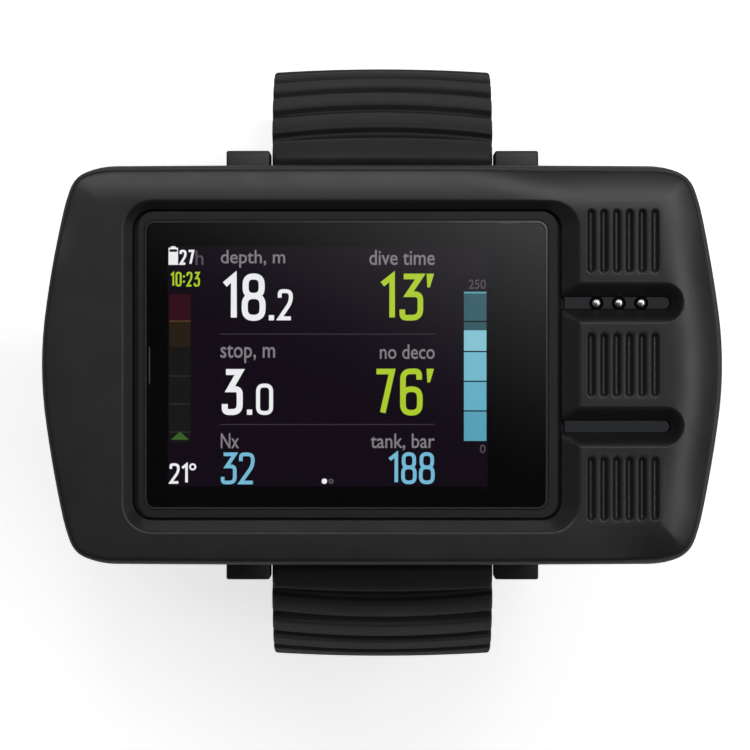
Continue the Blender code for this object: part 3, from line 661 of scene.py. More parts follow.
def drop(bm, edges, z):
    """Draws edges straight down to a height; returns the new open edges."""
    made = bmesh.ops.extrude_edge_only(bm, edges=edges)["geom"]
    for vert in (g for g in made if isinstance(g, bmesh.types.BMVert)):
        vert.co.z = z
    return [g for g in made if isinstance(g, bmesh.types.BMEdge) and g.is_boundary]


def grid(rect, spacing, outline, margin):
    """Evenly spaced points well inside an outline, in rows set off by half a step."""
    points = []
    rise = spacing * 0.866
    for j in range(int((rect[3] - rect[2]) / rise) + 1):
        x = rect[0] + (j % 2) * spacing / 2
        while x <= rect[1]:
            points.append((x, rect[2] + j * rise))
            x += spacing
    flat = np.array(points)
    return flat[inside(flat, outline) & (polygon_distance(flat, outline) > margin)]


def slot_line(y, distance):
    """The line at a distance from a slot's mouth, from inside the bay round the right end and back."""
    half = SLOT_HALF + distance
    end = around(SLOT_END - SLOT_HALF, y, half, np.linspace(-pi / 2, pi / 2, 17))
    return dense([(SLOT_START, y - half), *end, (SLOT_START, y + half)], 1.2)


# Distances from an outline at which the surface gets a line of its triangles' edges
CASE_LINES = (
    0.04, 0.12, 0.25, 0.45, 0.6, 0.75, 0.8, 0.88, 1.0, 1.15,
    1.35, 1.6, 1.9, 2.3, 2.8, 3.4, 4.1, 4.9, 5.7, 6.6,
)
DECK_GRID = 1.1
BAY_LINES = (0.75, 0.5, 0.35, 0.2, 0.1, 0.0, -0.1, -0.2, -0.35, -0.5)
SLOT_LINES = (0.5, 0.3, 0.15, 0.0, -0.15, -0.3, -0.5, -1.0, -1.5, -1.9, -2.02, -2.12, -2.2)
GROOVE_LINES = (0.12, 0.06, 0.0, -0.06, -0.12, -0.26, -0.4, -0.54)
# (height, inset) down the outside, along the rim and up the inside
BEZEL_SIDES = (
    (16.4, 0.02), (15.6, 0.1), (15.15, 0.2), (14.96, 0.35), (BEZEL_RIM, 0.6), (BEZEL_RIM, WALL),
    (DECK_UNDER, WALL),
)


def make_bezel():
    """The front shell: its face as one surface, then its sides, pockets, window and underside."""
    pads = [pad_outline(y, PAD_SEAM) for _, y in PAD_ROWS]
    window = rounded(WINDOW, 1.0, spacing=3.0)
    lines = [case_outline(inset) for inset in CASE_LINES]
    lines += [rounded(BAY, BAY_CORNER, grow, 10, 1.0) for grow in BAY_LINES]
    for share in (0.45, 0.7, 0.9):
        rect = tuple(a + (b - a) * share for a, b in zip(BAY, BAY_FOOT))
        lines.append(rounded(rect, BAY_CORNER - FOOT_TIGHTER * share, 0, 10, 1.0))
    for grow in (0.015, -0.015):
        lines.append(rounded(BAY_FOOT, BAY_CORNER - FOOT_TIGHTER, grow, 10, 1.0))
    lines += [slot_line(y, distance) for y in (SLOT_Y, -SLOT_Y) for distance in SLOT_LINES]
    points = grid((-46, 46, -25, 25), DECK_GRID, case_outline(CASE_LINES[-1] + 0.2), 0.3)
    points = points[rectangle_distance(points, BAY, BAY_CORNER) > BAY_LINES[0] + 0.15]
    bm = triangulated(OUTER, [*pads, window], lines, points, shell_height)
    rim = rim_verts(bm)
    for z, inset in BEZEL_SIDES:
        lower = [bm.verts.new((x, y, z)) for x, y in case_outline(inset)]
        for i in range(len(rim)):
            bm.faces.new((rim[i - 1], rim[i], lower[i], lower[i - 1]))
        rim = lower
    for _, y in PAD_ROWS:
        near = lambda co: max(abs(co.x - PAD_X), abs(co.y - y)) < PAD_REACH and co.z > PAD_UNDER
        bmesh.ops.edgeloop_fill(bm, edges=drop(bm, open_edges(bm, near), POCKET_FLOOR))
    drop(bm, open_edges(bm, lambda co: abs(co.z - BAY_FLOOR) < 0.01), DECK_UNDER)
    bmesh.ops.triangle_fill(bm, use_beauty=True, edges=[e for e in bm.edges if e.is_boundary])
    bezel = object_of("bezel", bm, 55)
    finish_piece(bezel, SHELL, "case", "shell", "bezel_shell")


def rim_verts(bm):
    """The vertices on the widest outline, in its own order."""
    found = {(round(v.co.x, 3), round(v.co.y, 3)): v for v in bm.verts if v.is_boundary}
    return [found[round(x, 3), round(y, 3)] for x, y in OUTER]


def make_pads():
    half_turn = np.linspace(0, pi, 13)
    for row, y in PAD_ROWS:
        outline = pad_outline(y)
        lines = [pad_outline(y, -0.12), pad_outline(y, -0.3)]
        reach = GROOVE_HALF_LENGTH - GROOVE_HALF
        for x in GROOVE_XS:
            for half in (GROOVE_HALF + distance for distance in GROOVE_LINES):
                line = [p for sign in (1, -1) for p in around(x, y + sign * reach, sign * half, half_turn)]
                lines.append(dense(line, 0.8))
        rect = (PAD_X - PAD_GRID, PAD_X + PAD_GRID, y - PAD_GRID, y + PAD_GRID)
        bm = triangulated(outline, [], lines, grid(rect, 0.9, pad_outline(y, -0.4), 0.05), pad_height(y))
        bmesh.ops.edgeloop_fill(bm, edges=drop(bm, [e for e in bm.edges if e.is_boundary], PAD_UNDER))
        pad = object_of(f"pad_{row}", bm, 50)
        stem = rod("stem", STEM_R, (PAD_X, y, STEM_END), (PAD_X, y, PAD_UNDER + 0.5), 32)
        carve(stem, [ring_cutter(PAD_X, y)])
        carve(pad, [stem], "UNION")
        apply_all(pad, 50)
        finish_piece(pad, SHELL, f"button_{row}", "shell", f"button_{row}")


def ring_cutter(x, y):
    """A thick-walled ring that turns a clip groove in a stem."""
    low, high = CLIP_GROOVE
    ring = rod("ring", 2 * STEM_R, (x, y, low), (x, y, high), 32)
    carve(ring, [rod("ring_bore", CLIP_R, (x, y, low - 0.45), (x, y, high + 0.65), 32)])
    return ring


# ---------------------------------------------------------------- flat outlines given thickness


def prism(name, outline, low, high, bevel=0.0):
    """An outline given thickness, with its edges rounded."""
    obj = loft(name, [[(x, y, z) for x, y in outline] for z in (low, high)])
    if bevel:
        ease(obj, bevel)
    return obj


def ease(obj, width, segments=3, sharp=30, smooth_angle=40):
    """Rounds every edge sharper than an angle."""
    modify(obj, "BEVEL", width=width * MM, segments=segments, angle_limit=radians(sharp))
    apply_all(obj, smooth_angle)


def joined(name, objects):
    """One object out of several that don't touch."""
    bm = bmesh.new()
    for obj in objects:
        bm.from_mesh(obj.data)
        bpy.data.objects.remove(obj)
    made = put(name, mesh_of(name, bm))
    made.data.shade_smooth()
    return made


def pill(x0, x1, y, half, steps=12):
    """A strip's outline, square at the left and round at the right."""
    end = around(x1 - half, y, half, [-pi / 2 + pi * i / (steps * 2) for i in range(steps * 2 + 1)])
    return [(x0, y + half), (x0, y - half), *end]


# ---------------------------------------------------------------- back case

BACK_RINGS = (
    (0.0, 3.0), (0.12, 2.7), (0.35, 2.3), (0.7, 1.9), (1.2, 1.55), (1.8, 1.25), (2.4, 1.05), (5.0, 0.85),
    (9.0, 0.6), (12.6, 0.42), (13.4, 0.38), (13.75, 0.5), (BACK_RIM, 0.75),
)
LUG_X = (17.5, 24.3)
LUG_Y = (24.6, 33.4)
LUG_Z = (2.2, 12.3)
RECESS_WALL = 26.4
BAR_U = 30.4
BAR_Z = 6.5
CORNERS = {
    "top_right": (42.5, 24.5), "top_left": (-42.5, 24.5),
    "bottom_right": (42.5, -24.5), "bottom_left": (-42.5, -24.5),
}
SENSOR_XY = (34.0, -12.0)
PORT_R = 8.3
CAVITY_STEP_X = 20.0
CAVITY_MID_Y = 24.0
FLOOR = 2.2
POST_R = 3.4
# Holes for a strap bar and for its screws' heads: (radius, distance from the middle to where they start)
BAR_HOLES = ((1.3, 0), (2.15, 23.0))
SCREW_DRILL = ((0.1, -1), (2.9, -1), (2.9, 2.9), (1.5, 2.9), (1.5, 16), (0.1, 16))
PORT_DRILL = ((0.1, -1), (PORT_R, -1), (PORT_R, 1.4), (2.2, 1.4), (2.2, 4), (0.1, 4))


def cavity_outline():
    """The inner outline, which steps in behind the two strap recesses."""
    top = [p for p in case_outline(WALL) if p[0] > CAVITY_STEP_X and p[1] >= 0]
    quarter = top + [(CAVITY_STEP_X, top[-1][1] + 0.1), (CAVITY_STEP_X, CAVITY_MID_Y)]
    return mirrored(quarter, quarter)


def make_back():
    rings = [[(x, y, z) for x, y in case_outline(inset)] for z, inset in BACK_RINGS]
    back = loft("back", rings, 50)
    for sy in (1, -1):
        for sx in (1, -1):
            xs = sorted(sx * x for x in LUG_X)
            ys = sorted(sy * y for y in LUG_Y)
            carve(back, [box("lug", xs, ys, LUG_Z, 0.35, 3)], "UNION")
    carve(back, [prism("back_cavity", cavity_outline(), FLOOR, 16)])
    for sy in (1, -1):
        for radius, start in BAR_HOLES:
            ends = [[(sx * x, sy * BAR_U, BAR_Z) for x in (start, 26)] for sx in (1, -1)]
            carve(back, [rod("bar_hole", radius, *end, 32) for end in ends])
    for sy in (1, -1):
        recess = sorted((sy * RECESS_WALL, sy * 40))
        carve(back, [box("recess", (-LUG_X[0], LUG_X[0]), recess, (-2, 16), 0.5, 3)])
    drills = []
    for at in CORNERS.values():
        drills.append(turned("drill", SCREW_DRILL, at, 32))
        carve(back, [rod("post", POST_R, (*at, 1.0), (*at, BACK_RIM - 0.2), 32)], "UNION")
    carve(back, [joined("drills", drills)])
    carve(back, [turned("port", PORT_DRILL, SENSOR_XY, 64)])
    apply_all(back, 35)
    finish_piece(back, BACK, "case", "shell", "back_case")


def make_port_cover():
    radius = PORT_R - 0.3
    profile = (
        (0, 1.1), (radius, 1.1), (radius, 0.45), (radius - 0.1, 0.25), (radius - 0.3, 0.16),
        (radius - 0.6, 0.15), (6.2, 0.15), (6.1, 0.3), (5.9, 0.3), (5.8, 0.15), (0, 0.15),
    )
    cover = turned("port_cover", profile, SENSOR_XY, 96)
    vent = ((0, 2), (0.9, 2), (0.9, 0.35), (1.05, 0.2), (1.3, 0.05), (1.3, -1), (0, -1))
    vents = [turned("vent", vent, at, 24) for at in around(*SENSOR_XY, 4.2, ring_angles(6))]
    carve(cover, [joined("vents", vents)])
    finish_piece(cover, BACK, "case", "shell", "pressure_port_cover")


def make_screws():
    """Case screws with domed heads and hexagon sockets, and slotted screws in the strap bars' ends."""
    threads = [pair for k in range(20) for pair in ((1.2, 18.4 - 0.7 * k), (0.98, 18.05 - 0.7 * k))]
    profile = (
        (0, 18.8), (0.8, 18.8), *threads, (1.2, 4.2), (1.2, 2.5), (2.5, 2.5), (2.6, 2.4), (2.6, 0.9),
        (2.5, 0.65), (2.25, 0.48), (1.9, 0.42), (0, 0.42),
    )
    for name, at in CORNERS.items():
        screw = turned(f"screw_{name}", profile, at, 32)
        carve(screw, [rod("socket", 1.2, (*at, -1), (*at, 1.4), 6)])
        finish_piece(screw, STEEL, "case", "steel", f"case_screw_{name}")
    for sy, end in ((1, "top"), (-1, "bottom")):
        y = sy * BAR_U
        for sx, side in ((1, "right"), (-1, "left")):
            head = rod(f"bar_head_{end}_{side}", 1.85, (sx * 23.2, y, BAR_Z), (sx * 24.2, y, BAR_Z), 48, 0.15)
            carve(head, [rod("shank", 1.0, (sx * 19.8, y, BAR_Z), (sx * 23.6, y, BAR_Z), 32)], "UNION")
            xs = sorted((sx * 23.8, sx * 25))
            carve(head, [box("blade", xs, (y - 3, y + 3), (BAR_Z - 0.3, BAR_Z + 0.3))])
            finish_piece(head, STEEL, "case", "steel", f"bar_screw_{end}_{side}")


# ---------------------------------------------------------------- strap

STRAP_HALF = 17.25
STRAP_NARROW = 14.5
TAPER = (30.0, 52.0)
STRAP_THICK = 4.2
STRAP_PLAIN = 3.2
GROOVE_DROP = 1.2
BEND_R = 30.0
BEND_Z = -21.1
SOLE_Z = BEND_Z - BEND_R
FIRST_RIB = 2.86
RIB_PITCH = 4.88
RIBS = 7
BOW = 0.95
CROWN = 0.55
STRAP_CORNER = 0.5
ARC_START = 24.0
TOP_ARC = {"u": 25.7, "z": -9.1, "r": 22.0}
BOTTOM_ARC = {"u": 26.1, "z": -7.8, "r": 20.6}
END_BLOCK = (
    ((-3.55, 0.95), (-3.55, -0.95)),
    ((-2.8, 2.35), (-2.6, -2.5)),
    ((-1.3, 3.4), (-1.6, -3.1)),
    ((-0.2, 4.25), (-0.5, -3.35)),
    ((0.9, 4.95), (0.6, -3.2)),
)
# Where the strap leaves its bar: (distance, share of the groove's depth)
RUN_IN = ((0.0, 0.0), (0.7, 0.02), (1.05, 0.12), (1.3, 0.35), (1.5, 0.65), (1.68, 0.88), (1.85, 1.0))
# (distance past a rib's near edge, share of the groove's depth): a crisp near edge and a rolled far one
RIB_PROFILE = (
    (-0.42, 1.0), (-0.22, 0.97), (-0.1, 0.8), (0.0, 0.5), (0.08, 0.24), (0.2, 0.08), (0.45, 0.01), (1.1, 0.0),
    (1.9, 0.0), (2.7, 0.02), (3.1, 0.08), (3.35, 0.19), (3.55, 0.38), (3.72, 0.62), (3.86, 0.86), (4.0, 0.98),
)


def on_circle(arc, radius, angle):
    return arc["u"] + radius * sin(radians(angle)), arc["z"] + radius * cos(radians(angle))


def strap_station(arc, s):
    """Outer point and the direction into the strap at distance s along the outer line."""
    arc_length = arc["r"] * radians(90 - ARC_START)
    straight = arc["z"] - BEND_Z
    if s <= arc_length:
        angle = ARC_START + degrees(s / arc["r"])
        return on_circle(arc, arc["r"], angle), (-sin(radians(angle)), -cos(radians(angle)))
    if s <= arc_length + straight:
        return (arc["u"] + arc["r"], arc["z"] - (s - arc_length)), (-1.0, 0.0)
    bend = (s - arc_length - straight) / BEND_R
    centre_u = arc["u"] + arc["r"] - BEND_R
    if bend <= pi / 2:
        return (centre_u + BEND_R * cos(bend), BEND_Z - BEND_R * sin(bend)), (-cos(bend), sin(bend))
    return (centre_u - (bend - pi / 2) * BEND_R, SOLE_Z), (0.0, 1.0)


def half_width(s):
    return between((STRAP_HALF, STRAP_NARROW), ramp_single(s, *TAPER))


def cross_section(half, corner, count=14):
    """(x, depth share, inwards) round a strap: crowned outside, round corners, flat inside."""
    turn = [pi / 2 * i / 4 for i in range(5)]
    below = corner * 0.7
    points = [(half - corner - (2 * (half - corner)) * i / count, "outer", 0.0) for i in range(count + 1)]
    points += [(-half + corner - corner * sin(a), "outer", corner * (1 - cos(a))) for a in turn[1:]]
    points += [(-half + below * (1 - cos(a)), "inner", below * (1 - sin(a))) for a in turn]
    points += [(half - below * (1 - sin(a)), "inner", below * (1 - cos(a))) for a in turn]
    points += [(half - corner + corner * cos(a), "outer", corner * (1 - sin(a))) for a in turn[:-1]]
    return points


def strap_row(side, half, surface):
    """One row of a strap; surface(x) gives its outer and inner points in (u, z)."""
    row = []
    for x, layer, depth in cross_section(half, STRAP_CORNER):
        outer, inner = surface(x)
        du, dz = inner[0] - outer[0], inner[1] - outer[1]
        share = depth / hypot(du, dz) if layer == "outer" else 1 - depth / hypot(du, dz)
        row.append((x, side * (outer[0] + du * share), outer[1] + dz * share))
    return row


def block_rows(side, arc):
    """The smooth end round the strap bar, up to the start of the arc."""
    pairs = [((BAR_U + a, BAR_Z + b), (BAR_U + c, BAR_Z + d)) for (a, b), (c, d) in END_BLOCK]
    pairs.append((on_circle(arc, arc["r"], ARC_START - 6), (BAR_U + 1.6, BAR_Z - 2.9)))
    inner = on_circle(arc, arc["r"] - STRAP_THICK - 0.4, ARC_START)
    pairs.append((on_circle(arc, arc["r"], ARC_START), inner))
    rows = []
    lines = [[outer for outer, _ in pairs], [inner for _, inner in pairs]]
    for k in range(len(pairs) - 1):
        for i in range(4):
            t = i / 4
            crowned = crown_of(*(spline(line, k, t) for line in lines), ramp_single(k + t, 2.0, 5.0))
            rows.append(strap_row(side, STRAP_HALF - 0.08, crowned))
    return rows


def spline(points, k, t):
    """The point of a Catmull-Rom spline a share t past its point k."""
    near = (points[min(max(k + i, 0), len(points) - 1)] for i in (-1, 0, 1, 2))
    return tuple(
        b + 0.5 * t * (c - a + t * (2 * a - 5 * b + 4 * c - d + t * (3 * (b - c) + d - a)))
        for a, b, c, d in zip(*near)
    )


def ramp_single(value, low, high):
    return float(ramp01(np.array(value), low, high))


def crown_of(outer, inner, share=1.0):
    du, dz = inner[0] - outer[0], inner[1] - outer[1]
    size = hypot(du, dz)

    def surface(x):
        drop = CROWN * share * (x / STRAP_HALF) ** 2 / size
        return (outer[0] + du * drop, outer[1] + dz * drop), inner

    return surface


def strap_rows(side, arc):
    """Rows from the arc's start to the end of the lower bend."""
    turn_over = arc["r"] * radians(90 - ARC_START) + arc["z"] - BEND_Z
    stations = [(along, fall, 0.0) for along, fall in RUN_IN]
    for k in range(RIBS):
        stations += [(FIRST_RIB + k * RIB_PITCH + along, fall, 1 - fall) for along, fall in RIB_PROFILE]
    last = FIRST_RIB + RIBS * RIB_PITCH - 0.6
    stations += [(last + i * 1.5, 1.0, 0.0) for i in range(1, 4)]
    rest = np.linspace(last + 6.0, turn_over + BEND_R * pi / 2, 37)
    stations += [(float(along), 1.0, 0.0) for along in rest]
    rows = []
    for sigma, share, bulge in stations:
        bowed = BOW * ramp_single(sigma, 0.0, 2.6) * (1 - ramp_single(sigma, 35.0, 43.0))
        plain = ramp_single(sigma, turn_over - 4, turn_over + 4)
        half = half_width(sigma) - 0.12 + 0.12 * bulge
        depth = between((STRAP_THICK, STRAP_PLAIN), plain)
        fall = GROOVE_DROP * share * (1 - plain)

        def surface(x, sigma=sigma, bowed=bowed, depth=depth, fall=fall, plain=plain):
            across = (x / STRAP_HALF) ** 2
            outer, inward = strap_station(arc, sigma - bowed * across)
            rise = min(fall + CROWN * across * (1 - plain), depth - 1.2)
            top = (outer[0] + inward[0] * rise, outer[1] + inward[1] * rise)
            return top, (outer[0] + inward[0] * depth, outer[1] + inward[1] * depth)

        rows.append(strap_row(side, half, surface))
    return rows


def end_row(side, u, low, high, half=STRAP_NARROW - 0.1):
    return strap_row(side, half, lambda x: ((u, low), (u, high)))


def finish_strap(name, rows, side, cutters, body):
    """The strap half round its bar, with its own cuts."""
    strap = loft(name, rows, 55)
    bore = rod("bore", 1.25, (-20, side * BAR_U, BAR_Z), (20, side * BAR_U, BAR_Z), 48)
    carve(strap, [bore, *cutters])
    apply_all(strap, 50)
    finish_piece(strap, STRAP, body, "strap", f"{body}_half")


BUCKLE_U = 15.5
BUCKLE_Z = -49.4
BUCKLE_AT = (BUCKLE_U, BUCKLE_Z)
BUCKLE_BAR_R = 0.9
FRAME_END = -0.5
FRAME_TOP = -48.7
TONGUE_HALF = 1.3
TIP_U = 3.0
HOLES = 7
HOLE_R = 1.6
HOLE_PITCH = 6.5


def make_buckle_half():
    low, high = SOLE_Z, SOLE_Z + STRAP_PLAIN
    rows = block_rows(1, TOP_ARC) + strap_rows(1, TOP_ARC)
    centre_u = TOP_ARC["u"] + TOP_ARC["r"] - BEND_R
    for i in (1, 2):
        u = centre_u - (centre_u - BUCKLE_U - 0.4) * i / 3
        rows.append(end_row(1, u, low, high + 0.2 * i / 3))
    ends = ((0.4, 0.0, 0.2), (-0.3, 0.05, 0.15), (-0.9, 0.18, 0.02), (-1.3, 0.5, -0.3), (-1.6, 0.9, -0.7))
    rows += [end_row(1, BUCKLE_U + u, low + a, high + b) for u, a, b in ends]
    bore = rod("buckle_bore", BUCKLE_BAR_R + 0.2, (-20, *BUCKLE_AT), (20, *BUCKLE_AT), 40)
    notch = box("notch", (-2.3, 2.3), (BUCKLE_U - 4, BUCKLE_U + 3.8), (low - 1, high + 2), 0.8, 4)
    finish_strap("strap_upper", rows, 1, [bore, notch], "strap_buckle")


def make_hole_half():
    low, high = SOLE_Z, SOLE_Z + STRAP_PLAIN
    rows = block_rows(-1, BOTTOM_ARC) + strap_rows(-1, BOTTOM_ARC)
    centre_u = BOTTOM_ARC["u"] + BOTTOM_ARC["r"] - BEND_R
    start = TIP_U + 6.0
    rows += [end_row(-1, centre_u + (start - centre_u) * i / 5, low, high) for i in range(1, 6)]
    for i in range(1, 11):
        angle = pi / 2 * i / 10.6
        half = 4.5 + (STRAP_NARROW - 4.6) * cos(angle)
        thin = 0.7 * ramp_single(i, 8, 10)
        rows.append(end_row(-1, start - 6.0 * sin(angle), low + thin, high - thin, half))
    holes = []
    for k in range(HOLES):
        along = centre_u - TIP_U - 8.0 - HOLE_PITCH * k
        angle = max(-along, 0) / BEND_R
        middle = BEND_R - STRAP_PLAIN / 2
        u = centre_u - max(along, 0)
        ends = [(0, -(u + r * sin(angle)), BEND_Z - r * cos(angle)) for r in (middle - 4, middle + 4)]
        holes.append(rod("hole", HOLE_R, *ends, 32))
    finish_strap("strap_lower", rows, -1, [joined("holes", holes)], "strap_hole")


def make_buckle():
    outline = rounded((-18.0, 18.0, FRAME_END, BUCKLE_U + 1.8), 1.6, 0, 8)
    buckle = prism("buckle", outline, SOLE_Z, FRAME_TOP)
    window = rounded((-14.8, 14.8, FRAME_END + 3.4, 40), 1.2, 0, 6)
    carve(buckle, [prism("window", window, -60, -40)])
    ease(buckle, 0.5, 4, 50, 50)
    carve(buckle, [rod("frame_bore", BUCKLE_BAR_R + 0.12, (-17.2, *BUCKLE_AT), (17.2, *BUCKLE_AT), 40)])
    finish_piece(buckle, STEEL, "buckle", "steel", "buckle_frame")
    bar = rod("buckle_rod", BUCKLE_BAR_R, (-16.9, *BUCKLE_AT), (16.9, *BUCKLE_AT), 40, 0.2)
    finish_piece(bar, STEEL, "buckle", "steel", "buckle_bar")
    # The tongue's top line: (u, z, thickness, share of its width)
    line = (
        (BUCKLE_U, BUCKLE_Z + 1.2, 1.6, 1.0), (BUCKLE_U - 4, BUCKLE_Z + 1.9, 1.6, 1.0),
        (FRAME_END + 3.6, FRAME_TOP + 1.6, 1.3, 0.92), (FRAME_END + 0.6, FRAME_TOP + 1.3, 0.9, 0.7),
    )
    rows = []
    for i in range(16):
        k = min(i // 5, 2)
        y, z, thick, wide = spline(line, k, i / 5 - k)
        half = TONGUE_HALF * wide
        rows.append([(x, y, up) for x, up in rounded((-half, half, z - thick, z), 0.35, 0, 4)])
    tongue = loft("tongue", rows, 50)
    hub_ends = [(x, *BUCKLE_AT) for x in (-TONGUE_HALF - 0.6, TONGUE_HALF + 0.6)]
    carve(tongue, [rod("hub", 1.65, *hub_ends, 48, 0.2)], "UNION")
    carve(tongue, [rod("tongue_bore", BUCKLE_BAR_R + 0.12, (-5, *BUCKLE_AT), (5, *BUCKLE_AT), 40)])
    finish_piece(tongue, STEEL, "tongue", "steel", "buckle_tongue")


KEEPERS = (("keeper_fixed", 53.5, "strap_buckle"), ("keeper_sliding", 40.0, "keeper_loose"))
KEEPER_SPAN = 4.5
KEEPER_WALL = 1.5
TIP_ROOM = 3.5


def bent(name, radii, half, angles, corner, steps=10):
    """A bar of rounded section bent about the strap's lower bend."""
    centre_u = TOP_ARC["u"] + TOP_ARC["r"] - BEND_R
    section = rounded((-half, half, *radii), corner, 0, 6, 2)
    rows = []
    for i in range(steps + 1):
        angle = radians(between(angles, i / steps))
        rows.append([(x, centre_u + r * sin(angle), BEND_Z - r * cos(angle)) for x, r in section])
    return loft(name, rows)


def make_keepers():
    inner, outer = BEND_R - STRAP_PLAIN - 0.3, BEND_R + TIP_ROOM
    half = STRAP_NARROW + 0.4
    for name, angle, body in KEEPERS:
        span = (angle - KEEPER_SPAN, angle + KEEPER_SPAN)
        radii = (inner - KEEPER_WALL, outer + KEEPER_WALL)
        keeper = bent(f"{name}_loop", radii, half + KEEPER_WALL, span, 2.0)
        carve(keeper, [bent("hollow", (inner, outer), half, (span[0] - 3, span[1] + 3), 0.7)])
        ease(keeper, 0.45, 3, 50, 45)
        finish_piece(keeper, STRAP, body, "strap", name)


# ---------------------------------------------------------------- display, slots and pins


# Lines in the glass's border, drawn as a faint painted glow: (x0, x1, y0, y1)
GLOWING_BORDER_LINES = ((-35.72, -35.58, -2.9, 2.75), (17.5, 21.0, 21.66, 21.8))
MASK_UNDER = 22.4
MASK_TOP = 22.46
BORDER_LEVELS = (MASK_TOP + 0.005, MASK_TOP + 0.03)


def make_glass():
    rings = [[(x, y, z) for x, y in rounded(GLASS, GLASS_CORNER, -inset, 16)] for inset, z in GLASS_RINGS]
    glass = loft("glass", rings, 8)
    finish_piece(glass, GLASS_CLEAR, "case", "glass", "display_glass")
    glass.data.materials.append(GLASS_EDGE)
    for face in glass.data.polygons:
        face.material_index = int(abs(face.normal.z) < 0.995)
    rim = prism("surround", rounded(SURROUND, 2.4, 0, 10), GLASS_RINGS[0][1], GLASS_RINGS[-1][1] - 0.02)
    carve(rim, [prism("surround_hole", rounded(GLASS, GLASS_CORNER, 0.08, 10), 20, 27)])
    ease(rim, 0.25, 4, 60)
    finish_piece(rim, RIM, "case", "surround", "glass_surround")
    mask = prism("glass_mask", rounded(GLASS, GLASS_CORNER, -0.12, 8), MASK_UNDER, MASK_TOP)
    carve(mask, [prism("mask_hole", rounded(LIT, 0.3, 0.25, 4), 20, 25)])
    finish_piece(mask, MASK, "case", "screen")
    for i, line in enumerate(GLOWING_BORDER_LINES):
        # painted light: the border lines glow faintly
        ink(f"border_glow_{i + 1}", (0.07, 0.07, 0.072), bars=[line], levels=BORDER_LEVELS)


# Strokes of each figure in a unit box: (points, closed). Corners are rounded when they are drawn.
STROKES = {
    "0": [([(0, 0), (1, 0), (1, 1), (0, 1)], True)],
    "1": [([(0, 0.81), (1, 1), (1, 0)], False)],
    "2": [([(0, 0.76), (0, 1), (1, 1), (1, 0.6), (0, 0), (1, 0)], False)],
    "3": [([(0.08, 1), (1, 1), (0.34, 0.57), (1, 0.57), (1, 0), (0, 0), (0, 0.2)], False)],
    "6": [
        ([(0, 0), (1, 0), (1, 0.57), (0, 0.57)], True),
        ([(0, 0.3), (0, 1), (0.96, 1), (0.96, 0.8)], False),
    ],
    "7": [([(0, 1), (1, 1), (0.4, 0)], False)],
    "8": [
        ([(0, 0), (1, 0), (1, 0.53), (0, 0.53)], True),
        ([(0.05, 0.53), (0.95, 0.53), (0.95, 1), (0.05, 1)], True),
    ],
}
SHARP_CORNERS = {"1": (1,), "2": (4,), "3": (1, 2), "7": (1,)}


def filleted(points, closed, radius, sharp):
    """A line with its corners replaced by short curves."""
    result = []
    corners_at = [Vector(point) for point in points]
    for i, corner in enumerate(corners_at):
        if (not closed and i in (0, len(points) - 1)) or i in sharp:
            result.append(points[i])
            continue
        back, ahead = corners_at[i - 1] - corner, corners_at[(i + 1) % len(points)] - corner
        reach = min(radius, back.length * 0.49, ahead.length * 0.49)
        start, end = (corner + side.normalized() * reach for side in (back, ahead))
        shares = [k / 6 for k in range(7)]
        result += [tuple(start * (1 - t) ** 2 + corner * 2 * t * (1 - t) + end * t * t) for t in shares]
    return result


def ribbon(bm, points, closed, width, levels):
    """A flat strip of even width along a line, given thickness."""
    low, high = levels
    line = [Vector(point) for point in points]
    sections = []
    for i, middle in enumerate(line):
        before = line[i - 1] if closed or i else middle
        after = line[(i + 1) % len(line)] if closed or i < len(line) - 1 else middle
        first, second = middle - before, after - middle
        first = first.normalized() if first.length else second.normalized()
        second = second.normalized() if second.length else first
        along = (first + second).normalized()
        side = Vector((-along.y, along.x)) * (width / 2 / max(along.dot(first), 0.45))
        edges = (middle + side, low), (middle + side, high), (middle - side, high), (middle - side, low)
        sections.append([(*flat, z) for flat, z in edges])
    solid(bm, sections, closed)


def plate(bm, points, levels):
    """A flat polygon given thickness."""
    solid(bm, [[(x, y, z) for x, y in points] for z in levels])


def rect_corners(x0, x1, y0, y1):
    return [(x0, y0), (x1, y0), (x1, y1), (x0, y1)]


LCD_Z = 22.04
INK = (LCD_Z, LCD_Z + 0.03)


def figure(bm, character, x0, x1, y0, y1, width):
    """One figure that fills a rectangle."""
    low = (x0 + width / 2, y0 + width / 2)
    size = (x1 - x0 - width, y1 - y0 - width)
    radius = min(size[0] * 0.5, width * 1.5)
    for points, closed in STROKES[character]:
        placed = [(low[0] + px * size[0], low[1] + py * size[1]) for px, py in points]
        sharp = SHARP_CORNERS.get(character, ())
        ribbon(bm, filleted(placed, closed, radius, sharp), closed, width, INK)


def dot(bm, x, y, radius, hole):
    if hole:
        ribbon(bm, around(x, y, (radius + hole) / 2, ring_angles(20)), True, radius - hole, INK)
    else:
        plate(bm, around(x, y, radius, ring_angles(20)), INK)


def ink(name, colour, figures=(), bars=(), dots=(), plates=(), levels=INK):
    """One colour of the display's picture."""
    bm = bmesh.new()
    for each in figures:
        figure(bm, *each)
    for each in dots:
        dot(bm, *each)
    for points in [*(rect_corners(*each) for each in bars), *plates]:
        plate(bm, points, levels)
    obj = object_of(f"display_{name}", bm, 30)
    finish_piece(obj, lit(f"lit_{name}", colour), "case", "screen")


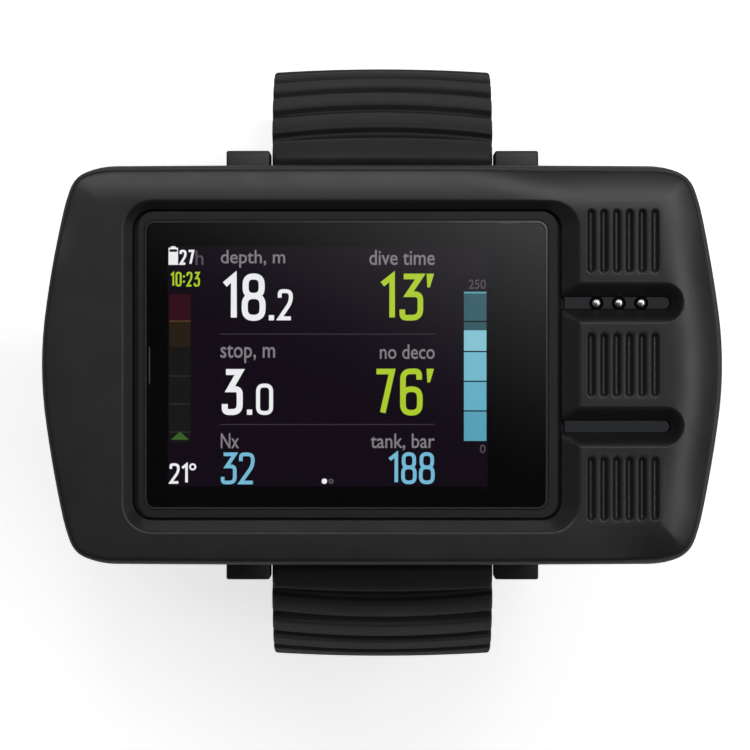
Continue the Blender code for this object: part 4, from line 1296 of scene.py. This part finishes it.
def label(text, x0, x1, y0, y1, colour, name):
    """A small word that fills a rectangle."""
    curve = bpy.data.curves.new(name, "FONT")
    curve.body = text
    curve.extrude = 0.015
    curve.offset = 0.008
    curve.resolution_u = 3
    guide = put(name, curve)
    mesh = evaluated(guide)
    bpy.data.objects.remove(guide)
    bm = bmesh.new()
    bm.from_mesh(mesh)
    bmesh.ops.remove_doubles(bm, verts=bm.verts, dist=1e-5)
    xs = [v.co.x for v in bm.verts]
    ys = [v.co.y for v in bm.verts]
    for vert in bm.verts:
        vert.co.x = x0 + (vert.co.x - min(xs)) / (max(xs) - min(xs)) * (x1 - x0)
        vert.co.y = y0 + (vert.co.y - min(ys)) / (max(ys) - min(ys)) * (y1 - y0)
        vert.co.z = INK[vert.co.z > 0]
    finish_piece(object_of(f"display_{name}", bm, 30), colour, "case", "screen")


# Figures are (character, x0, x1, y0, y1, width of the stroke), bars are (x0, x1, y0, y1)
# and dots are (x, y, radius, radius of the hole).
WHITE_FIGURES = (
    ("1", -24.6, -22.3, 6.8, 13.95, 0.92), ("8", -21.55, -17.9, 6.75, 14.0, 0.92),
    ("2", -16.03, -13.73, 6.83, 11.6, 0.6),
    ("3", -24.6, -21.4, -7.67, -0.62, 0.92), ("0", -19.35, -16.75, -7.65, -2.85, 0.6),
    ("2", -32.6, -31.05, -18.18, -15.05, 0.4), ("1", -30.85, -29.8, -18.18, -15.05, 0.4),
    ("2", -31.07, -30.0, 15.32, 17.63, 0.36), ("7", -29.85, -28.8, 15.32, 17.63, 0.36),
)
DECIMAL_POINTS = ((-17.4, -16.6, 6.83, 7.63), (-20.75, -19.95, -7.63, -6.83))
BATTERY_SIGN = (
    (-32.75, -31.3, 15.32, 17.3), (-32.75, -31.3, 17.7, 17.95), (-32.4, -31.65, 17.95, 18.16),
    (-32.75, -32.6, 17.3, 17.7), (-31.45, -31.3, 17.3, 17.7),
)
WHITE_DOTS = ((-29.05, -15.6, 0.55, 0.27), (-8.9, -17.8, 0.42, 0.0))
LIME_FIGURES = (
    ("1", -0.45, 1.9, 6.85, 13.97, 0.86), ("3", 2.6, 6.22, 6.8, 13.97, 0.86),
    ("7", -1.35, 1.9, -7.72, -0.58, 0.86), ("6", 2.7, 6.14, -7.75, -0.55, 0.86),
    ("1", -32.5, -31.88, 12.0, 14.25, 0.28), ("0", -31.68, -30.75, 12.0, 14.25, 0.28),
    ("2", -30.0, -29.1, 12.0, 14.25, 0.28), ("3", -28.9, -27.95, 12.0, 14.25, 0.28),
)
COLON = ((-30.55, -30.25, 12.6, 12.9), (-30.55, -30.25, 13.4, 13.7))
MINUTE_TOPS = (13.97, -0.58)
BLUE_FIGURES = (
    ("3", -24.75, -22.33, -18.27, -13.4, 0.56), ("2", -21.96, -19.57, -18.27, -13.4, 0.56),
    ("1", 0.8, 2.39, -18.22, -13.38, 0.56), ("8", 2.86, 5.22, -18.25, -13.35, 0.56),
    ("8", 5.58, 7.98, -18.25, -13.35, 0.56),
)
WORDS = (
    ("depth, m", -24.76, -14.9, 14.88, 17.6), ("dive time", -2.02, 8.0, 15.28, 17.6),
    ("stop, m", -24.8, -16.45, 0.3, 3.1), ("no deco", -0.4, 8.0, 0.9, 3.15),
    ("Nx", -24.75, -21.96, -12.76, -10.46), ("tank, bar", -1.82, 8.0, -13.1, -10.5),
)
DIVIDER_YS = (4.72, -9.12)
TANK_X = (12.46, 15.91)
TANK_FULL = 10.95
TANK_MARKS = (11.2, 6.65, 5.3, 2.05, -2.5, -7.04, -11.73)
TANK_TONES = (
    (0.04, 0.125, 0.15), (0.035, 0.11, 0.135), (0.27, 0.62, 0.72), (0.2, 0.55, 0.68), (0.15, 0.48, 0.62),
    (0.11, 0.4, 0.52),
)
# The mark above the bright part's top is drawn without gaps
TANK_LEVEL = 2
GAUGE_X = (-32.62, -29.38)
GAUGE_BANDS = {
    "red": (6.82, 10.85, (0.034, 0.0035, 0.0095)), "amber": (6.6, 6.82, (0.09, 0.045, 0.018)),
    "brown": (2.66, 6.6, (0.021, 0.0125, 0.006)), "olive": (-11.85, 2.54, (0.008, 0.0082, 0.0068)),
}
GAUGE_MARKS = (-1.75, -6.04, -10.33)


def make_display():
    panel = prism("lcd", rounded((-34.9, 18.1, -20.5, 20.1), 0.3, 0, 4), 20.6, 22.0, 0.08)
    finish_piece(panel, MASK, "case", "screen", "lcd_panel")
    ink("ground", (0.0058, 0.0022, 0.0072), plates=[rounded(LIT, 0.1, 0, 2)], levels=(22.01, 22.03))
    ink("white", (0.98, 0.98, 0.98), WHITE_FIGURES, (*DECIMAL_POINTS, *BATTERY_SIGN), WHITE_DOTS)
    minutes = [[(6.75, y), (6.86, y - 2.1), (7.26, y - 2.1), (7.88, y)] for y in MINUTE_TOPS]
    ink("lime", (0.47, 0.68, 0.03), LIME_FIGURES, COLON, plates=minutes)
    ink("blue", (0.2, 0.55, 0.76), BLUE_FIGURES)
    grey = lit("lit_grey", (0.25, 0.225, 0.25))
    dim = lit("lit_dim", (0.1, 0.08, 0.1))
    label("h", -28.63, -27.4, 15.32, 17.5, dim, "hours")
    for i, word in enumerate(WORDS):
        label(*word, grey, f"word_{i + 1}")
    label("250", 13.19, 15.8, 11.63, 13.08, dim, "scale_top")
    label("0", 14.9, 15.78, -13.49, -12.16, dim, "scale_bottom")
    ink("divider", (0.045, 0.035, 0.045), bars=[(-24.91, 8.04, y - 0.07, y + 0.07) for y in DIVIDER_YS])
    ink("page", (0.16, 0.15, 0.16), dots=[(-7.88, -17.8, 0.36, 0.2)])
    make_tank_bar()
    make_ascent_bar()


def make_tank_bar():
    """A tank gauge in segments, dim above the pressure left and bright below."""
    ink("tank_top", (0.13, 0.42, 0.5), bars=[(*TANK_X, TANK_FULL, TANK_MARKS[0])])
    for i, tone in enumerate(TANK_TONES):
        top = min(TANK_MARKS[i] - (0.1 if i != TANK_LEVEL else 0.0), TANK_FULL)
        low = TANK_MARKS[i + 1] + (0.1 if i + 1 != TANK_LEVEL else 0.0)
        ink(f"tank_{i + 1}", tone, bars=[(*TANK_X, low, top)])


def make_ascent_bar():
    """An ascent-rate gauge: a red band, thin marks and a green pointer."""
    x0, x1 = GAUGE_X
    for name, (low, top, tone) in GAUGE_BANDS.items():
        ink(f"gauge_{name}", tone, bars=[(x0, x1, low, top)])
    marks = [(x0, x1, y, y + 0.12) for y in GAUGE_MARKS]
    ink("gauge_marks", (0.036, 0.036, 0.028), bars=marks, levels=(INK[1], INK[1] + 0.01))
    pointer = [(x0 + 0.25, -11.45), (x1 - 0.25, -11.45), ((x0 + x1) / 2, -10.2)]
    ink("pointer", (0.045, 0.13, 0.02), plates=[pointer], levels=(INK[1] + 0.015, INK[1] + 0.03))


STRIP_UNDER = 21.2
PIN_R = 0.75
PIN_PROFILE = (
    (0, 24.55), (0.3, 24.53), (0.5, 24.47), (0.64, 24.38), (0.72, 24.26), (PIN_R, 24.1), (PIN_R, 18.8),
    (0, 18.8),
)
RING_PROFILE = ((0, 24.44), (1.07, 24.4), (1.07, 24.29), (0, 24.29))


def make_inserts():
    strips = (("contact_strip", SLOT_Y, "contact_block"), ("lower_strip", -SLOT_Y, "slot_insert"))
    for name, y, node in strips:
        outline = pill(27.75, STRIP_END, y, STRIP_HALF - 0.03)
        strip = prism(name, outline, STRIP_UNDER, SLOT_FLOOR - 0.02, 0.08)
        if y > 0:
            bores = [rod("bore", PIN_R + 0.09, (x, y, 20), (x, y, 26), 32) for x in PIN_XS]
            carve(strip, [joined("bores", bores)])
        finish_piece(strip, STRIP, "case", "part_blue", node)
    for i, x in enumerate(PIN_XS):
        pin = turned(f"pin_{i + 1}", PIN_PROFILE, (x, SLOT_Y), 32)
        finish_piece(pin, PIN_STEEL, "case", "steel", f"contact_pin_{i + 1}")
        ring = turned(f"pin_ring_{i + 1}", RING_PROFILE, (x, SLOT_Y), 32)
        carve(ring, [rod("ring_bore", PIN_R + 0.04, (x, SLOT_Y, 24), (x, SLOT_Y, 25), 32)])
        finish_piece(ring, MASK, "case", "seal")


# ---------------------------------------------------------------- stage


CAMERA_LENS = 186.35
CAMERA_AT = (-1.15, -1.54, WIDEST_Z + 600)
FLOOR_SIZE = 3.0
LAMP_TARGET = Vector((0, 0, 0.05))
# Softboxes: (place in metres, level width, height towards the zenith, power)
LAMPS = {
    "top_softbox": ((0.0, 0.52, 1.13), 1.4, 0.14, 5.0),
    "right_softbox": ((0.6, 0.1, 1.1), 1.0, 0.14, 3.7),
    "left_fill": ((-1.1, 0.1, 0.9), 1.0, 1.0, 0.35),
    "right_low": ((1.4, 0.05, 0.22), 0.9, 0.2, 1.3),
    "top_low": ((0.05, 1.4, 0.22), 0.9, 0.2, 1.3),
}


def make_camera():
    camera = put("camera", bpy.data.cameras.new("camera"))
    camera.data.sensor_width = 36
    camera.data.lens = CAMERA_LENS
    camera.data.clip_end = 20
    camera.location = place(CAMERA_AT)
    bpy.context.scene.camera = camera
    bpy.context.scene.view_settings.view_transform = "Standard"


def make_floor():
    bm = bmesh.new()
    bmesh.ops.create_grid(bm, x_segments=1, y_segments=1, size=FLOOR_SIZE)
    floor = put("floor", mesh_of("floor", bm))
    floor.location.z = -0.0001
    paint = Nodes("floor_paint")
    paint.feed("Base Color", paint.grey_ramp(paint.noise(3), 0.9, 0.92))
    paint.set(Roughness=0.9, Specular_IOR_Level=0.1, Emission_Color=(1, 1, 1, 1), Emission_Strength=0.7)
    floor.data.materials.append(paint.material)


def make_lamps():
    """Softboxes that face the object."""
    for name, (location, width, height, power) in LAMPS.items():
        light = bpy.data.lights.new(name, "AREA")
        light.shape = "RECTANGLE"
        light.size = width
        light.size_y = height
        light.energy = power
        lamp = put(name, light)
        lamp.location = location
        lamp.rotation_euler = (LAMP_TARGET - lamp.location).to_track_quat("-Z", "Y").to_euler()


def make_sky():
    """Dim all round, with a soft card overhead that only the polished glass shows clearly."""
    world = bpy.data.worlds.new("studio")
    bpy.context.scene.world = world
    world.use_nodes = True
    sky = world.node_tree
    split = sky.nodes.new("ShaderNodeSeparateXYZ")
    sky.links.new(sky.nodes.new("ShaderNodeTexCoord").outputs["Generated"], split.inputs[0])
    east, north, up = split.outputs

    def calc(operation, a, b, clamp=False):
        node = sky.nodes.new("ShaderNodeMath")
        node.operation = operation
        node.use_clamp = clamp
        for socket, value in zip(node.inputs, (a, b)):
            if isinstance(value, (int, float)):
                socket.default_value = value
            else:
                sky.links.new(value, socket)
        return node.outputs[0]

    slant = calc("ADD", calc("MULTIPLY", east, 0.45), calc("MULTIPLY", north, 0.9))
    rise = calc("MINIMUM", calc("MULTIPLY", calc("ADD", slant, 0.01), 9.0, True), 0.6)
    near = calc("MULTIPLY", calc("SUBTRACT", up, 0.955), 28.0, True)
    card = calc("MULTIPLY", calc("POWER", rise, 2.0), near)
    horizon = calc("MULTIPLY", calc("SUBTRACT", 0.34, up), 5.0, True)
    dim = calc("ADD", calc("MULTIPLY", horizon, 0.25), 0.03)
    ground = sky.nodes["Background"]
    sky.links.new(calc("ADD", calc("MULTIPLY", card, 1.8), dim), ground.inputs["Strength"])
    ground.inputs["Color"].default_value = (0.95, 0.97, 1.0, 1)


def dress_cad():
    """Materials for the CAD nodes that stay: fasteners, seals and everything inside the case."""
    finishes = {
        "steel": STEEL, "shell": BACK, "strap": STRAP, "seal": DARK_RUBBER, "board": BOARD, "cell": CAN,
        "foam": FOAM, "frame_plastic": INNER_PLASTIC, "part_blue": STRIP, "surround": RIM,
        "glass": GLASS_CLEAR, "screen": DARK_RUBBER,
    }
    for row in frame["record"]["subparts"]:
        node = frame["nodes"][row["node"]]
        node.data.materials.clear()
        node.data.materials.append(finishes[row["material_slot"]])
        node.data.shade_smooth()
        node.data.set_sharp_from_angle(angle=radians(35))


make_camera()
make_floor()
make_lamps()
make_sky()
dress_cad()
make_bezel()
make_pads()
make_back()
make_port_cover()
make_screws()
make_buckle_half()
make_hole_half()
make_buckle()
make_keepers()
make_display()
make_glass()
make_inserts()
